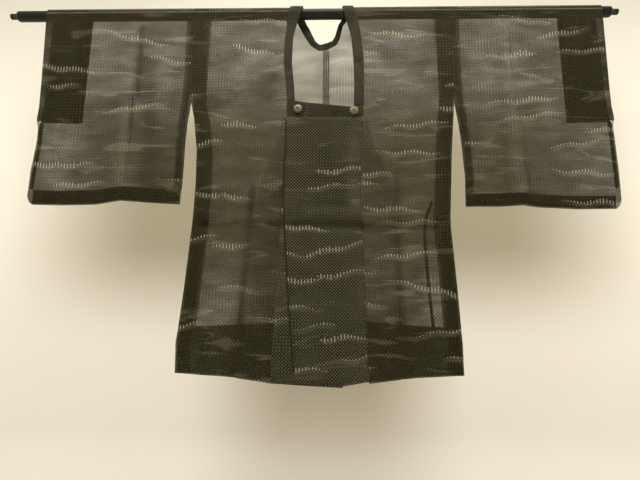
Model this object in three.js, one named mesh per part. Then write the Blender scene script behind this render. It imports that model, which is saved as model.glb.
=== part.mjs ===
// Michiyuki coat, a sheer summer coat with a square neck, hung flat on a rod through its sleeves.
//
// Millimetres. X runs across the coat, Z is up and the front faces -Y. The origin is on the rod's
// axis, level with the middle of the coat. Right and left are the wearer's, so right is at -X.
// A place on the cloth is given by its x and its drop, the distance below the rod's axis. A drop
// under zero is measured round the rod, up to the fold on top of it.

import * as THREE from 'three';

const clothWall = 1.2;
const doubledWall = 2;
const seamGap = 0.3;
const layerStep = clothWall + seamGap;
const overlapStep = doubledWall + seamGap;

const rodRadius = 12.5;
const rodFrom = -729;
const rodTo = 680;
const stubRadius = 7;
const stubFrom = -746;
const stubTo = 696;
const rodChamfer = 5;

const foldRadius = rodRadius + 0.5 + clothWall / 2 + layerStep;
const topOfFold = -foldRadius * Math.PI / 2;
const foldSteps = [0.25, 0.5, 0.75];

const gussetDrop = 240;
const cuffDrop = 270;
const sideAllowance = 33;
const sleeveAllowance = 17;
const sleeveSeamWidth = 12;
const sleeveHem = { right: 34, left: 30 };
const centreBackX = 12;
const centreAllowance = 8;
const neckBackDrop = 80.5;
const facingTopDrop = 727;
const nominalHemDrop = 860;
const collarStand = 2.6;
const collarBandDrop = 264;
const neckTopDrop = 226;
const neckSlant = { from: -58, to: 64, fall: 14 };
const tapeWidth = 7;
const buttonRadius = 10.4;

// How far the cloth's middle lies from the plane of the rod, down the middle of the coat, at its
// side seams and over the sleeves.
const hang = [
  { drop: 0, middle: foldRadius, side: foldRadius, sleeve: foldRadius },
  { drop: 60, middle: 14.6, side: 13.2, sleeve: 13.2 },
  { drop: 240, middle: 12.6, side: 9, sleeve: 9 },
  { drop: 350, middle: 12, side: 8.6, sleeve: 8 },
  { drop: 515, middle: 11, side: 8.6, sleeve: 7.6 },
  { drop: 700, middle: 12.4, side: 9.2, sleeve: 7.6 },
  { drop: 860, middle: 13.6, side: 10, sleeve: 7.6 },
];

// The side edges, from the armholes down the side seams to the hem.
const sides = [
  { drop: 0, right: -298.5, left: 302.5 },
  { drop: 190, right: -300, left: 305 },
  { drop: 213, right: -300, left: 305.5 },
  { drop: 240, right: -294.5, left: 302.3 },
  { drop: 264, right: -289, left: 299.8 },
  { drop: 300, right: -284.6, left: 296.5 },
  { drop: 340, right: -279.5, left: 293 },
  { drop: 420, right: -278, left: 288.3 },
  { drop: 495, right: -280.5, left: 283.5 },
  { drop: 515, right: -281.5, left: 283.5 },
  { drop: 650, right: -292, left: 292 },
  { drop: 770, right: -304, left: 298 },
  { drop: 860, right: -302, left: 298 },
];

// The front edges of the body, beside the collar and then along the seams of the front bands.
const frontEdges = [
  { drop: -24, right: -66, left: 68 },
  { drop: 0, right: -76, left: 78 },
  { drop: 30, right: -79, left: 87.5 },
  { drop: 70, right: -84, left: 94 },
  { drop: 131, right: -86, left: 99 },
  { drop: 190, right: -80, left: 99 },
  { drop: 226, right: -77, left: 98 },
  { drop: 264, right: -78, left: 95 },
  { drop: 460, right: -84.5, left: 89 },
  { drop: 650, right: -94, left: 96 },
  { drop: 860, right: -102, left: 102 },
];

// The inner edge of the collar strips down the front.
const collarEdges = [
  { drop: -24, right: -41, left: 47 },
  { drop: 0, right: -45, left: 52 },
  { drop: 30, right: -55, left: 60 },
  { drop: 70, right: -65, left: 70 },
  { drop: 131, right: -67, left: 75 },
  { drop: 190, right: -61, left: 76 },
  { drop: 226, right: -59, left: 75 },
];

// The back neck, from the wearer's right shoulder round to the left. The collar droops behind the
// rod between an outer edge on the body and an inner edge round the opening.
const backNeck = [
  { outerX: -60, outerDrop: 0, innerX: -41, innerDrop: 0 },
  { outerX: -56, outerDrop: 8, innerX: -38.5, innerDrop: 8 },
  { outerX: -46.5, outerDrop: 24, innerX: -33, innerDrop: 20 },
  { outerX: -37, outerDrop: 40, innerX: -27, innerDrop: 32 },
  { outerX: -28.5, outerDrop: 55, innerX: -20, innerDrop: 48 },
  { outerX: -20, outerDrop: 69, innerX: -13, innerDrop: 62 },
  { outerX: -5, outerDrop: 82, innerX: -3, innerDrop: 70 },
  { outerX: 12, outerDrop: 80.5, innerX: 9, innerDrop: 67 },
  { outerX: 33, outerDrop: 69, innerX: 26, innerDrop: 61 },
  { outerX: 40, outerDrop: 54, innerX: 33, innerDrop: 48 },
  { outerX: 44, outerDrop: 37, innerX: 37, innerDrop: 33 },
  { outerX: 47, outerDrop: 20, innerX: 41, innerDrop: 17 },
  { outerX: 60, outerDrop: 7, innerX: 47, innerDrop: 7 },
  { outerX: 66, outerDrop: 0, innerX: 48, innerDrop: 0 },
];

// The free edge of the cloth turned in at each front band's seam.
const frontTurnings = [
  { drop: -24, right: -120, left: 130 },
  { drop: 0, right: -122, left: 132 },
  { drop: 264, right: -126, left: 152 },
  { drop: 460, right: -139, left: 163 },
  { drop: 700, right: -173, left: 171 },
  { drop: 860, right: -180, left: 176 },
];

// The columns of the two front bands: the seam and free edge of each, and lines between them.
const bandColumns = [
  { drop: 226, underSeam: -77, overFree: -76.6, a: -46, b: -12, c: 26, underFree: 66, overSeam: 98 },
  { drop: 264, underSeam: -78, overFree: -77.6, a: -46, b: -12, c: 26, underFree: 64, overSeam: 95 },
  { drop: 460, underSeam: -84.5, overFree: -82, a: -48, b: -14, c: 22, underFree: 58, overSeam: 89 },
  { drop: 650, underSeam: -94, overFree: -70, a: -42, b: -12, c: 20, underFree: 53, overSeam: 96 },
  { drop: 860, underSeam: -102, overFree: -51, a: -32, b: -4, c: 22, underFree: 48, overSeam: 102 },
];

// The hem, and the top of the facing turned up inside it.
const hemLine = [
  { x: -302, hem: 827, facing: 733 },
  { x: -189, hem: 834, facing: 728 },
  { x: -102, hem: 847, facing: 724 },
  { x: -40, hem: 853, facing: 722 },
  { x: 48, hem: 855, facing: 719 },
  { x: 102, hem: 846, facing: 719 },
  { x: 196, hem: 834, facing: 728 },
  { x: 298, hem: 829, facing: 733 },
];

// The free and outer edges of the sleeves, then their bottom seams.
const sleeveEdges = [
  { drop: 0, rightInner: -298.5, leftInner: 302.5, rightOuter: -652, leftOuter: 652.5 },
  { drop: 190, rightInner: -300, leftInner: 305, rightOuter: -649.2, leftOuter: 653 },
  { drop: 240, rightInner: -304.2, leftInner: 309.6, rightOuter: -649.4, leftOuter: 654 },
  { drop: 270, rightInner: -308.3, leftInner: 314, rightOuter: -652, leftOuter: 657.5 },
  { drop: 320, rightInner: -311, leftInner: 319, rightOuter: -651.5, leftOuter: 659 },
  { drop: 400, rightInner: -311.5, leftInner: 323, rightOuter: -658, leftOuter: 660.5 },
  { drop: 466, rightInner: -313.5, leftInner: 320, rightOuter: -659.5, leftOuter: 660 },
];
const sleeveBottoms = {
  right: [
    { x: -659.5, drop: 446 },
    { x: -655, drop: 458 },
    { x: -647, drop: 465 },
    { x: -584, drop: 467 },
    { x: -502, drop: 465 },
    { x: -448, drop: 456 },
    { x: -379, drop: 461 },
    { x: -311, drop: 465 },
  ],
  left: [
    { x: 320, drop: 470 },
    { x: 393, drop: 470 },
    { x: 444, drop: 467 },
    { x: 479, drop: 472 },
    { x: 565, drop: 476 },
    { x: 647, drop: 475 },
    { x: 656, drop: 467 },
    { x: 660, drop: 452 },
  ],
};
const sleeveColumns = {
  right: [-352, -395, -428, -448, -468, -510, -553, -600],
  left: [354, 392, 422, 441, 460, 510, 560, 606],
};
const cuffColumn = 8;
const roundCornerFrom = 645;

// Narrow tape inside the left front.
const tapeLine = [
  { drop: 460, x: 245 },
  { drop: 495, x: 231 },
  { drop: 535, x: 226 },
  { drop: 610, x: 228 },
  { drop: 690, x: 234 },
  { drop: 727, x: 237 },
];

// Folds, each a soft ridge along a line. A negative height is a trough.
const folds = {
  front: [
    { fromX: -300, fromDrop: 512, toX: 300, toDrop: 516, width: 11, height: -2.2 },
    { fromX: -100, fromDrop: 95, toX: -225, toDrop: 190, width: 20, height: 3 },
    { fromX: -110, fromDrop: 175, toX: -270, toDrop: 245, width: 20, height: -2.6 },
    { fromX: -235, fromDrop: 90, toX: -190, toDrop: 150, width: 24, height: 2.2 },
    { fromX: 115, fromDrop: 120, toX: 230, toDrop: 215, width: 22, height: 2.6 },
    { fromX: 265, fromDrop: 60, toX: 225, toDrop: 160, width: 22, height: -2 },
    { fromX: -150, fromDrop: 430, toX: -178, toDrop: 850, width: 18, height: -2.4 },
    { fromX: 168, fromDrop: 400, toX: 172, toDrop: 850, width: 18, height: -2.6 },
    { fromX: -235, fromDrop: 560, toX: -250, toDrop: 850, width: 26, height: 2.6 },
    { fromX: 225, fromDrop: 590, toX: 236, toDrop: 850, width: 26, height: 2.4 },
    { fromX: -30, fromDrop: 600, toX: -20, toDrop: 860, width: 34, height: 2 },
    { fromX: 70, fromDrop: 480, toX: 20, toDrop: 505, width: 24, height: 1.8 },
  ],
  back: [
    { fromX: -300, fromDrop: 515, toX: 300, toDrop: 513, width: 11, height: -2.2 },
    { fromX: -60, fromDrop: 90, toX: -190, toDrop: 210, width: 26, height: 2.6 },
    { fromX: 80, fromDrop: 100, toX: 200, toDrop: 230, width: 26, height: 2.8 },
    { fromX: -200, fromDrop: 330, toX: -215, toDrop: 850, width: 26, height: 3 },
    { fromX: -110, fromDrop: 560, toX: -105, toDrop: 850, width: 30, height: -2.4 },
    { fromX: 96, fromDrop: 420, toX: 110, toDrop: 850, width: 28, height: 2.8 },
    { fromX: 205, fromDrop: 600, toX: 215, toDrop: 850, width: 26, height: -2.2 },
  ],
  sleeveFront: [
    { fromX: -446, fromDrop: 30, toX: -448, toDrop: 460, width: 14, height: 3.4 },
    { fromX: -395, fromDrop: 120, toX: -385, toDrop: 380, width: 30, height: -2 },
    { fromX: -520, fromDrop: 60, toX: -590, toDrop: 330, width: 30, height: 2.2 },
    { fromX: 437, fromDrop: 30, toX: 443, toDrop: 460, width: 14, height: 3.4 },
    { fromX: 385, fromDrop: 140, toX: 372, toDrop: 400, width: 30, height: 2 },
    { fromX: 520, fromDrop: 80, toX: 575, toDrop: 360, width: 32, height: -2 },
  ],
  sleeveBack: [
    { fromX: -450, fromDrop: 30, toX: -448, toDrop: 460, width: 14, height: 3 },
    { fromX: -385, fromDrop: 100, toX: -400, toDrop: 360, width: 30, height: 2.2 },
    { fromX: 441, fromDrop: 30, toX: 441, toDrop: 460, width: 14, height: 3 },
    { fromX: 540, fromDrop: 70, toX: 560, toDrop: 380, width: 32, height: 2.2 },
  ],
};

const colours = {
  gauze: 0x4f4b39,
  turning: 0x3d3a2b,
  collar: 0x38352a,
  steel: 0x26221d,
  bronze: 0x9b8560,
};

const coat = new THREE.Group();

function clamp01(value) {
  return Math.min(1, Math.max(0, value));
}

function ease(value) {
  const t = clamp01(value);
  return t * t * (3 - 2 * t);
}

// A column of a table at a value of its key, in a straight line between its rows.
function lookup(table, key, column, value) {
  const last = table[table.length - 1];
  if (value <= table[0][key]) return table[0][column];
  if (value >= last[key]) return last[column];
  const next = table.findIndex((row) => row[key] > value);
  const low = table[next - 1];
  const high = table[next];
  const share = (value - low[key]) / (high[key] - low[key]);
  return low[column] + (high[column] - low[column]) * share;
}

function relief(list, x, drop) {
  let height = 0;
  for (const fold of list) {
    const runX = fold.toX - fold.fromX;
    const runDrop = fold.toDrop - fold.fromDrop;
    const length = Math.hypot(runX, runDrop);
    const along = ((x - fold.fromX) * runX + (drop - fold.fromDrop) * runDrop) / length;
    const across = ((x - fold.fromX) * runDrop - (drop - fold.fromDrop) * runX) / length;
    const beyond = Math.max(0, -along, along - length);
    height += fold.height * Math.exp(-(across ** 2 + beyond ** 2) / fold.width ** 2);
  }
  return height;
}

function bodyDepth(list, x, drop) {
  const edge = lookup(sides, 'drop', x < 0 ? 'right' : 'left', drop);
  const middle = lookup(hang, 'drop', 'middle', drop);
  const side = lookup(hang, 'drop', 'side', drop);
  const fullness = 1 - clamp01(x / edge) ** 3;
  const slack = ease(drop / 60) * ease((1 - x / edge) * 8);
  return side + (middle - side) * fullness + relief(list, x, drop) * slack;
}

// The right front slips behind the left one where the bands overlap.
function underDepth(x, drop) {
  const tuck = ease((drop - 60) / 130) * ease((x + 150) / 46);
  return bodyDepth(folds.front, x, drop) - overlapStep * tuck;
}

function sleeveBottom(x) {
  return lookup(x < 0 ? sleeveBottoms.right : sleeveBottoms.left, 'x', 'drop', x);
}

// A sleeve closes on the cloth turned in at its bottom seam, and at its outer edge below the cuff.
function sleeveDepth(list, x, drop) {
  const closed = clothWall * 1.5 + seamGap;
  const open = lookup(hang, 'drop', 'sleeve', drop);
  const outer = lookup(sleeveEdges, 'drop', x < 0 ? 'rightOuter' : 'leftOuter', drop);
  const overBottom = Math.sqrt(clamp01((sleeveBottom(x) - drop) / 120));
  const fromEdge = Math.sqrt(clamp01((1 - x / outer) * 9));
  const belowCuff = ease((drop - cuffDrop + 8) / 30);
  const gape = overBottom * (1 + (fromEdge - 1) * belowCuff);
  const slack = ease(drop / 60) * ease((1 - x / outer) * 12) * gape;
  return closed + (open - closed) * gape + relief(list, x, drop) * slack;
}

const faces = {
  under: { way: -1, depth: underDepth },
  over: { way: -1, depth: (x, drop) => bodyDepth(folds.front, x, drop) },
  back: { way: 1, depth: (x, drop) => bodyDepth(folds.back, x, drop) },
  sleeveFront: { way: -1, depth: (x, drop) => sleeveDepth(folds.sleeveFront, x, drop) },
  sleeveBack: { way: 1, depth: (x, drop) => sleeveDepth(folds.sleeveBack, x, drop) },
};

// A point on the cloth's middle surface, moved out from the coat's inside by level.
function place({ face, x, drop }, level) {
  const { way, depth } = faces[face];
  if (drop < 0) {
    const turn = -drop / foldRadius;
    const radius = foldRadius + level;
    return new THREE.Vector3(x, way * radius * Math.cos(turn), radius * Math.sin(turn));
  }
  return new THREE.Vector3(x, way * (depth(x, drop) + level), -drop);
}

function moveTowards(point, neighbour, distance) {
  const step = neighbour.clone().sub(point);
  return point.clone().add(step.setLength(distance));
}

// Draws every edge of a grid of points in by half a seam gap.
function drawIn(surface) {
  const half = seamGap / 2;
  const last = surface.length - 1;
  const rows = surface.map((row) => row.map((point) => point.clone()));
  rows[0] = surface[0].map((point, i) => moveTowards(point, surface[1][i], half));
  rows[last] = surface[last].map((point, i) => moveTowards(point, surface[last - 1][i], half));
  return rows.map((row) => {
    const end = row.length - 1;
    const drawn = row.slice();
    drawn[0] = moveTowards(row[0], row[1], half);
    drawn[end] = moveTowards(row[end], row[end - 1], half);
    return drawn;
  });
}

// A closed solid between two grids of points that match row for row.
function solidBetween(outerGrid, innerGrid) {
  const rows = outerGrid.length;
  const columns = outerGrid[0].length;
  const positions = [...outerGrid.flat(), ...innerGrid.flat()].flatMap((p) => [p.x, p.y, p.z]);
  const outer = (row, column) => row * columns + column;
  const inner = (row, column) => rows * columns + outer(row, column);
  const triangles = [];
  const quad = (a, b, c, d) => triangles.push(a, b, c, a, c, d);
  for (let r = 0; r < rows - 1; r += 1) {
    for (let c = 0; c < columns - 1; c += 1) {
      quad(outer(r, c), outer(r + 1, c), outer(r + 1, c + 1), outer(r, c + 1));
      quad(inner(r, c), inner(r, c + 1), inner(r + 1, c + 1), inner(r + 1, c));
    }
    quad(outer(r, 0), inner(r, 0), inner(r + 1, 0), outer(r + 1, 0));
    const end = columns - 1;
    quad(outer(r, end), outer(r + 1, end), inner(r + 1, end), inner(r, end));
  }
  for (let c = 0; c < columns - 1; c += 1) {
    const end = rows - 1;
    quad(outer(0, c), outer(0, c + 1), inner(0, c + 1), inner(0, c));
    quad(outer(end, c), inner(end, c), inner(end, c + 1), outer(end, c + 1));
  }
  const geometry = new THREE.BufferGeometry();
  geometry.setAttribute('position', new THREE.Float32BufferAttribute(positions, 3));
  geometry.setIndex(facingOut(positions, triangles));
  geometry.computeVertexNormals();
  return geometry;
}

// The triangles turned so that the solid's volume counts as positive.
function facingOut(positions, triangles) {
  const corner = (index) => new THREE.Vector3().fromArray(positions, index * 3);
  let volume = 0;
  for (let i = 0; i < triangles.length; i += 3) {
    const [a, b, c] = triangles.slice(i, i + 3).map(corner);
    volume += a.dot(b.cross(c));
  }
  return volume > 0 ? triangles : triangles.slice().reverse();
}

function addPiece(name, geometry, colour, roughness = 0.9, metalness = 0) {
  const material = new THREE.MeshStandardMaterial({ color: colour, roughness, metalness });
  const mesh = new THREE.Mesh(geometry, material);
  mesh.name = name;
  coat.add(mesh);
  return mesh;
}

// A wall of cloth over part of a grid, on the grid itself or a level out from it.
function wall(grid, { rows, columns, level = () => 0, thickness = clothWall }) {
  const part = grid
    .slice(rows[0], rows[1] + 1)
    .map((row) => row.slice(columns[0], columns[1] + 1));
  const outer = part.map((row) => row.map((p) => place(p, level(p) + thickness / 2)));
  const inner = part.map((row) => row.map((p) => place(p, level(p) - thickness / 2)));
  return solidBetween(drawIn(outer), drawIn(inner));
}

// A flat slab of turned-in cloth between a sleeve's front and back.
function slab(grid, { rows, columns }) {
  const part = grid
    .slice(rows[0], rows[1] + 1)
    .map((row) => row.slice(columns[0], columns[1] + 1));
  const at = (y) => part.map((row) => row.map((p) => new THREE.Vector3(p.x, y, -p.drop)));
  return solidBetween(drawIn(at(-clothWall)), drawIn(at(clothWall)));
}

function spaced(from, to, count) {
  return Array.from({ length: count }, (_, i) => from + (to - from) * (i + 1) / (count + 1));
}

const lowerDrops = [240, 264, 300, 340, 380, 420, 460, 495, 515, 535, 570, 610, 650, 690];
const hemDrops = [facingTopDrop, 770, 815, nominalHemDrop];
const frontNeckDrops = [0, 30, 70, 131, 190, 226];
const overFold = [...foldSteps, 1, ...foldSteps.slice().reverse()].map((step) => step * topOfFold);

// Below the turned-in edges' level the rows lean over to the facing and the hem.
function hemward(nominal, x) {
  const start = 600;
  if (nominal <= start) return nominal;
  const facing = lookup(hemLine, 'x', 'facing', x);
  const hem = lookup(hemLine, 'x', 'hem', x);
  if (nominal <= facingTopDrop) {
    return start + (facing - start) * (nominal - start) / (facingTopDrop - start);
  }
  return facing + (hem - facing) * (nominal - facingTopDrop) / (nominalHemDrop - facingTopDrop);
}

// One side of the body as one piece of cloth, from the front hem over the rod to the back hem.
function bodyGrid(side) {
  const sign = side === 'right' ? -1 : 1;
  const frontFace = side === 'right' ? 'under' : 'over';
  const neck = backNeck.filter((row) => sign * (row.outerX - centreBackX) > 0);
  if (side === 'left') neck.reverse();
  const rowAt = (face, nominal, turning, edge) => {
    const seam = lookup(sides, 'drop', side, nominal);
    const line = seam - sign * sideAllowance;
    const lines = [seam, line, ...spaced(line, turning, 5), turning, (turning + edge) / 2, edge];
    return lines.map((x) => ({ face, x, drop: hemward(nominal, x) }));
  };
  const front = (nominal) => rowAt(
    frontFace,
    nominal,
    lookup(frontTurnings, 'drop', side, nominal),
    lookup(frontEdges, 'drop', side, nominal),
  );
  const back = (nominal, edge) => rowAt('back', nominal, edge + sign * centreAllowance, edge);
  const overRod = overFold.map((nominal, i) => {
    const share = (i + 1) / (overFold.length + 1);
    const start = front(0);
    const end = back(0, neck[0].outerX);
    return start.map((point, j) => ({
      face: i < foldSteps.length ? frontFace : 'back',
      x: point.x + (end[j].x - point.x) * share,
      drop: nominal,
    }));
  });
  const belowNeck = back(neckBackDrop + 4, centreBackX);
  belowNeck[belowNeck.length - 1].drop = neckBackDrop;
  return {
    frontRows: [...frontNeckDrops, ...lowerDrops, ...hemDrops].reverse().map(front),
    overRod,
    backNeckRows: neck.map((row) => back(row.outerDrop, row.outerX)),
    backRows: [belowNeck, ...[125, 180, ...lowerDrops, ...hemDrops].map((d) => back(d, centreBackX))],
  };
}

function body(side) {
  const parts = bodyGrid(side);
  const grid = [...parts.frontRows, ...parts.overRod, ...parts.backNeckRows, ...parts.backRows];
  const last = grid.length - 1;
  const facingRows = hemDrops.length - 1;
  const edge = grid[0].length - 1;
  const turningRow = facingRows + lowerDrops.length - 1;
  const inside = () => -layerStep;
  const piece = (name, colour, options) => addPiece(`${name}_${side}`, wall(grid, options), colour);
  piece('body', colours.gauze, { rows: [0, last], columns: [0, edge] });
  piece('side_allowance', colours.turning, {
    rows: [facingRows, last - facingRows], columns: [0, 1], level: inside,
  });
  piece('hem_facing_front', colours.turning, {
    rows: [0, facingRows], columns: [0, edge], level: inside,
  });
  piece('hem_facing_back', colours.turning, {
    rows: [last - facingRows, last], columns: [0, edge], level: inside,
  });
  piece('front_allowance', colours.turning, {
    rows: [facingRows, turningRow], columns: [edge - 2, edge], level: inside,
  });
  return { ...parts, grid };
}

// A gusset folded inwards between the side seams of front and back.
function gusset(side, { grid }) {
  const sign = side === 'right' ? -1 : 1;
  const rows = grid.slice(0, hemDrops.length + lowerDrops.length);
  const section = [
    { across: 0, out: 1, half: 0, turnX: 0, turnY: 1 },
    { across: 0.5, out: 0.5, half: 0.5, turnX: 0, turnY: 1 },
    { across: 1, out: 0, half: 1, turnX: 0.7, turnY: 0.7 },
  ];
  const foldHalf = clothWall * 0.8;
  const ring = (offset) => rows.map(([seam]) => {
    const width = 12 + 20 * (seam.drop - gussetDrop) / (nominalHemDrop - gussetDrop);
    const side3 = (face) => section.map((s) => {
      const start = Math.abs(place({ ...seam, face }, -2 * layerStep).y);
      const y = start * s.out + foldHalf * s.half;
      const x = seam.x - sign * (width * s.across + offset * s.turnX);
      return new THREE.Vector3(x, faces[face].way * (y + offset * s.turnY), -seam.drop);
    });
    return [...side3(seam.face), ...side3('back').reverse()];
  });
  const solid = solidBetween(drawIn(ring(clothWall / 2)), drawIn(ring(-clothWall / 2)));
  addPiece(`gusset_${side}`, solid, colours.gauze);
}

// The two front bands share one grid, so that the over band lies evenly on the under band.
function frontBands() {
  const names = ['underSeam', 'overFree', 'a', 'b', 'c', 'underFree', 'overSeam'];
  const columnAt = (nominal) => names.map((name) => lookup(bandColumns, 'drop', name, nominal));
  const rowAt = (face, nominal) => columnAt(nominal).map((x) => ({
    face, x, drop: hemward(nominal, x),
  }));
  const drops = [...lowerDrops.slice(1), ...hemDrops];
  const grid = (face) => drops.map((nominal) => rowAt(face, nominal));
  const neckTop = (x) => neckTopDrop
    + neckSlant.fall * clamp01((x - neckSlant.from) / (neckSlant.to - neckSlant.from));
  const collarGrid = (face) => [
    names.map((name) => {
      const drop = neckTop(lookup(bandColumns, 'drop', name, neckTopDrop));
      return { face, x: lookup(bandColumns, 'drop', name, drop), drop };
    }),
    columnAt(collarBandDrop).map((x) => ({ face, x, drop: collarBandDrop })),
  ];
  const last = drops.length - 1;
  const under = { columns: [0, 5], thickness: doubledWall };
  const over = { columns: [1, 6], thickness: doubledWall };
  const overGrid = grid('over');
  overGrid[last].forEach((point) => {
    point.drop -= 3;
  });
  addPiece('front_band_under', wall(grid('under'), { rows: [0, last], ...under }), colours.gauze);
  addPiece('front_band_over', wall(overGrid, { rows: [0, last], ...over }), colours.gauze);
  const underCollar = wall(collarGrid('under'), { rows: [0, 1], ...under });
  const overCollar = wall(collarGrid('over'), { rows: [0, 1], ...over });
  addPiece('collar_band_under', underCollar, colours.collar);
  addPiece('collar_band_over', overCollar, colours.collar);
}

// The collar runs up the right front, over the rod, round the back neck and down the left front.
function collar(right, left) {
  const frontRow = hemDrops.length + lowerDrops.length;
  const frontOf = (parts, side) => parts.frontRows
    .slice(side === 'right' ? frontRow : frontRow - 1)
    .map((row) => row[row.length - 1])
    .map((outer) => [outer, { ...outer, x: lookup(collarEdges, 'drop', side, outer.drop) }]);
  const overOf = (parts, side) => parts.overRod.map((row, i) => {
    const outer = row[row.length - 1];
    const start = lookup(collarEdges, 'drop', side, 0);
    const end = side === 'right' ? backNeck[0].innerX : backNeck[backNeck.length - 1].innerX;
    return [outer, { ...outer, x: start + (end - start) * (i + 1) / (parts.overRod.length + 1) }];
  });
  const behind = backNeck.map((row) => [
    {
      face: 'back',
      x: row.outerX + (row.innerX - row.outerX) * 0.03,
      drop: row.outerDrop + (row.innerDrop - row.outerDrop) * 0.03,
    },
    { face: 'back', x: row.innerX, drop: row.innerDrop },
  ]);
  const grid = [
    ...frontOf(right, 'right'),
    ...overOf(right, 'right'),
    ...behind,
    ...overOf(left, 'left').reverse(),
    ...frontOf(left, 'left').reverse(),
  ];
  const level = ({ drop }) => collarStand * (1 - ease(drop / 45));
  const options = { rows: [0, grid.length - 1], columns: [0, 1], level, thickness: doubledWall };
  addPiece('collar', wall(grid, options), colours.collar);
}

// The seam allowance down the centre back, on the columns beside the seam on both sides.
function centreBackAllowance(right, left) {
  const count = right.backRows.length - hemDrops.length + 1;
  const grid = right.backRows.slice(1, count).map((row, i) => {
    const other = left.backRows[i + 1];
    return [...row.slice(-3), ...other.slice(-3, -1).reverse()];
  });
  const options = { rows: [0, grid.length - 1], columns: [0, 4], level: () => -layerStep };
  addPiece('centre_back_allowance', wall(grid, options), colours.turning);
}

function tape({ frontRows }) {
  const rows = frontRows.filter(([seam]) => {
    const first = tapeLine[0].drop;
    return seam.drop >= first && seam.drop < tapeLine[tapeLine.length - 1].drop + 8;
  });
  const onRow = (row, x, level) => {
    const next = row.findIndex((point) => point.x < x);
    const low = place(row[next], level);
    const high = place(row[next - 1], level);
    return low.lerp(high, (x - low.x) / (high.x - low.x));
  };
  const ribbon = (level) => rows.map((row) => {
    const x = lookup(tapeLine, 'drop', 'x', row[0].drop);
    return [onRow(row, x - tapeWidth / 2, level), onRow(row, x + tapeWidth / 2, level)];
  });
  const outer = ribbon(-layerStep + clothWall / 2);
  const inner = ribbon(-layerStep - clothWall / 2);
  addPiece('inner_tape', solidBetween(drawIn(outer), drawIn(inner)), colours.collar);
}

// A sleeve is one piece of cloth folded over the rod, open at the cuff and down its inner edge.
function sleeve(side) {
  const sign = side === 'right' ? -1 : 1;
  const upper = [0, 50, 110, 175, 235, cuffDrop, 300, 345, 395];
  const flat = (x) => sleeveBottom(sign * Math.min(Math.abs(x), roundCornerFrom));
  const lines = (drop) => {
    const inner = lookup(sleeveEdges, 'drop', `${side}Inner`, drop);
    const outer = lookup(sleeveEdges, 'drop', `${side}Outer`, drop);
    return [
      inner,
      inner + sign * sleeveAllowance,
      ...sleeveColumns[side],
      outer - sign * sleeveSeamWidth,
      outer - sign * 4,
      outer,
    ];
  };
  const rowAt = (face, drop) => lines(drop).map((x) => ({ face, x, drop }));
  const hemTop = (face) => lines(430).map((x) => ({ face, x, drop: flat(x) - sleeveHem[side] }));
  const bottom = (face) => lines(466).map((x) => ({ face, x, drop: sleeveBottom(x) }));
  const half = (face) => [...upper.map((drop) => rowAt(face, drop)), hemTop(face), bottom(face)];
  const overRod = overFold.map((drop, i) => rowAt(i < foldSteps.length ? 'sleeveFront' : 'sleeveBack', 0)
    .map((point) => ({ ...point, drop })));
  const grid = [...half('sleeveFront').reverse(), ...overRod, ...half('sleeveBack')];
  const last = grid.length - 1;
  const end = grid[0].length - 1;
  const cuffRow = 1 + upper.length - upper.indexOf(cuffDrop);
  const inside = () => -layerStep;
  const piece = (name, geometry, colour) => addPiece(`${name}_${side}`, geometry, colour);
  piece('sleeve', wall(grid, { rows: [0, last], columns: [0, end] }), colours.gauze);
  piece(
    'sleeve_inner_allowance',
    wall(grid, { rows: [1, last - 1], columns: [0, 1], level: inside }),
    colours.turning,
  );
  piece(
    'cuff_facing',
    wall(grid, { rows: [cuffRow, last - cuffRow], columns: [cuffColumn, end], level: inside }),
    colours.turning,
  );
  piece('sleeve_bottom_seam', slab(grid, { rows: [0, 1], columns: [0, end] }), colours.turning);
  piece(
    'sleeve_edge_seam',
    slab(grid, { rows: [1, cuffRow], columns: [end - 2, end] }),
    colours.turning,
  );
}

// A domed snap button with a stepped rim, on the front of the collar band.
function button(name, x, drop) {
  const profile = [
    [0, 0], [9.4, 0], [buttonRadius, 0.7], [buttonRadius, 1.9], [9, 2.5], [8.2, 2.1],
    [7.2, 3.3], [5, 4.5], [2.6, 5.1], [0, 5.3],
  ].map(([radius, height]) => new THREE.Vector2(radius, height));
  const around = [-1, 0, 1].flatMap((i) => [-1, 0, 1].map((j) => (
    faces.over.depth(x + i * buttonRadius, drop + j * buttonRadius)
  )));
  const seat = Math.max(...around) + doubledWall / 2 + seamGap;
  const mesh = addPiece(name, new THREE.LatheGeometry(profile, 16), colours.bronze, 0.4, 0.8);
  mesh.rotation.x = Math.PI;
  mesh.position.set(x, -seat, -drop);
}

// A steel tube with a chamfered shoulder and a thinner stub at each end.
function rod() {
  const profile = [
    [0, stubFrom],
    [stubRadius, stubFrom],
    [stubRadius, rodFrom],
    [rodRadius - rodChamfer, rodFrom],
    [rodRadius, rodFrom + rodChamfer],
    [rodRadius, rodTo - rodChamfer],
    [rodRadius - rodChamfer, rodTo],
    [stubRadius, rodTo],
    [stubRadius, stubTo],
    [0, stubTo],
  ].map(([radius, along]) => new THREE.Vector2(radius, along));
  const mesh = addPiece('rod', new THREE.LatheGeometry(profile, 24), colours.steel, 0.35, 0.6);
  mesh.rotation.z = -Math.PI / 2;
}

rod();
const right = body('right');
const left = body('left');
gusset('right', right);
gusset('left', left);
frontBands();
collar(right, left);
centreBackAllowance(right, left);
tape(left);
sleeve('right');
sleeve('left');
button('button_right', -52, 246);
button('button_left', 75, 251);

export default coat;
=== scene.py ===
import math

import bpy
import numpy as np
from mathutils import Matrix, Vector


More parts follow.
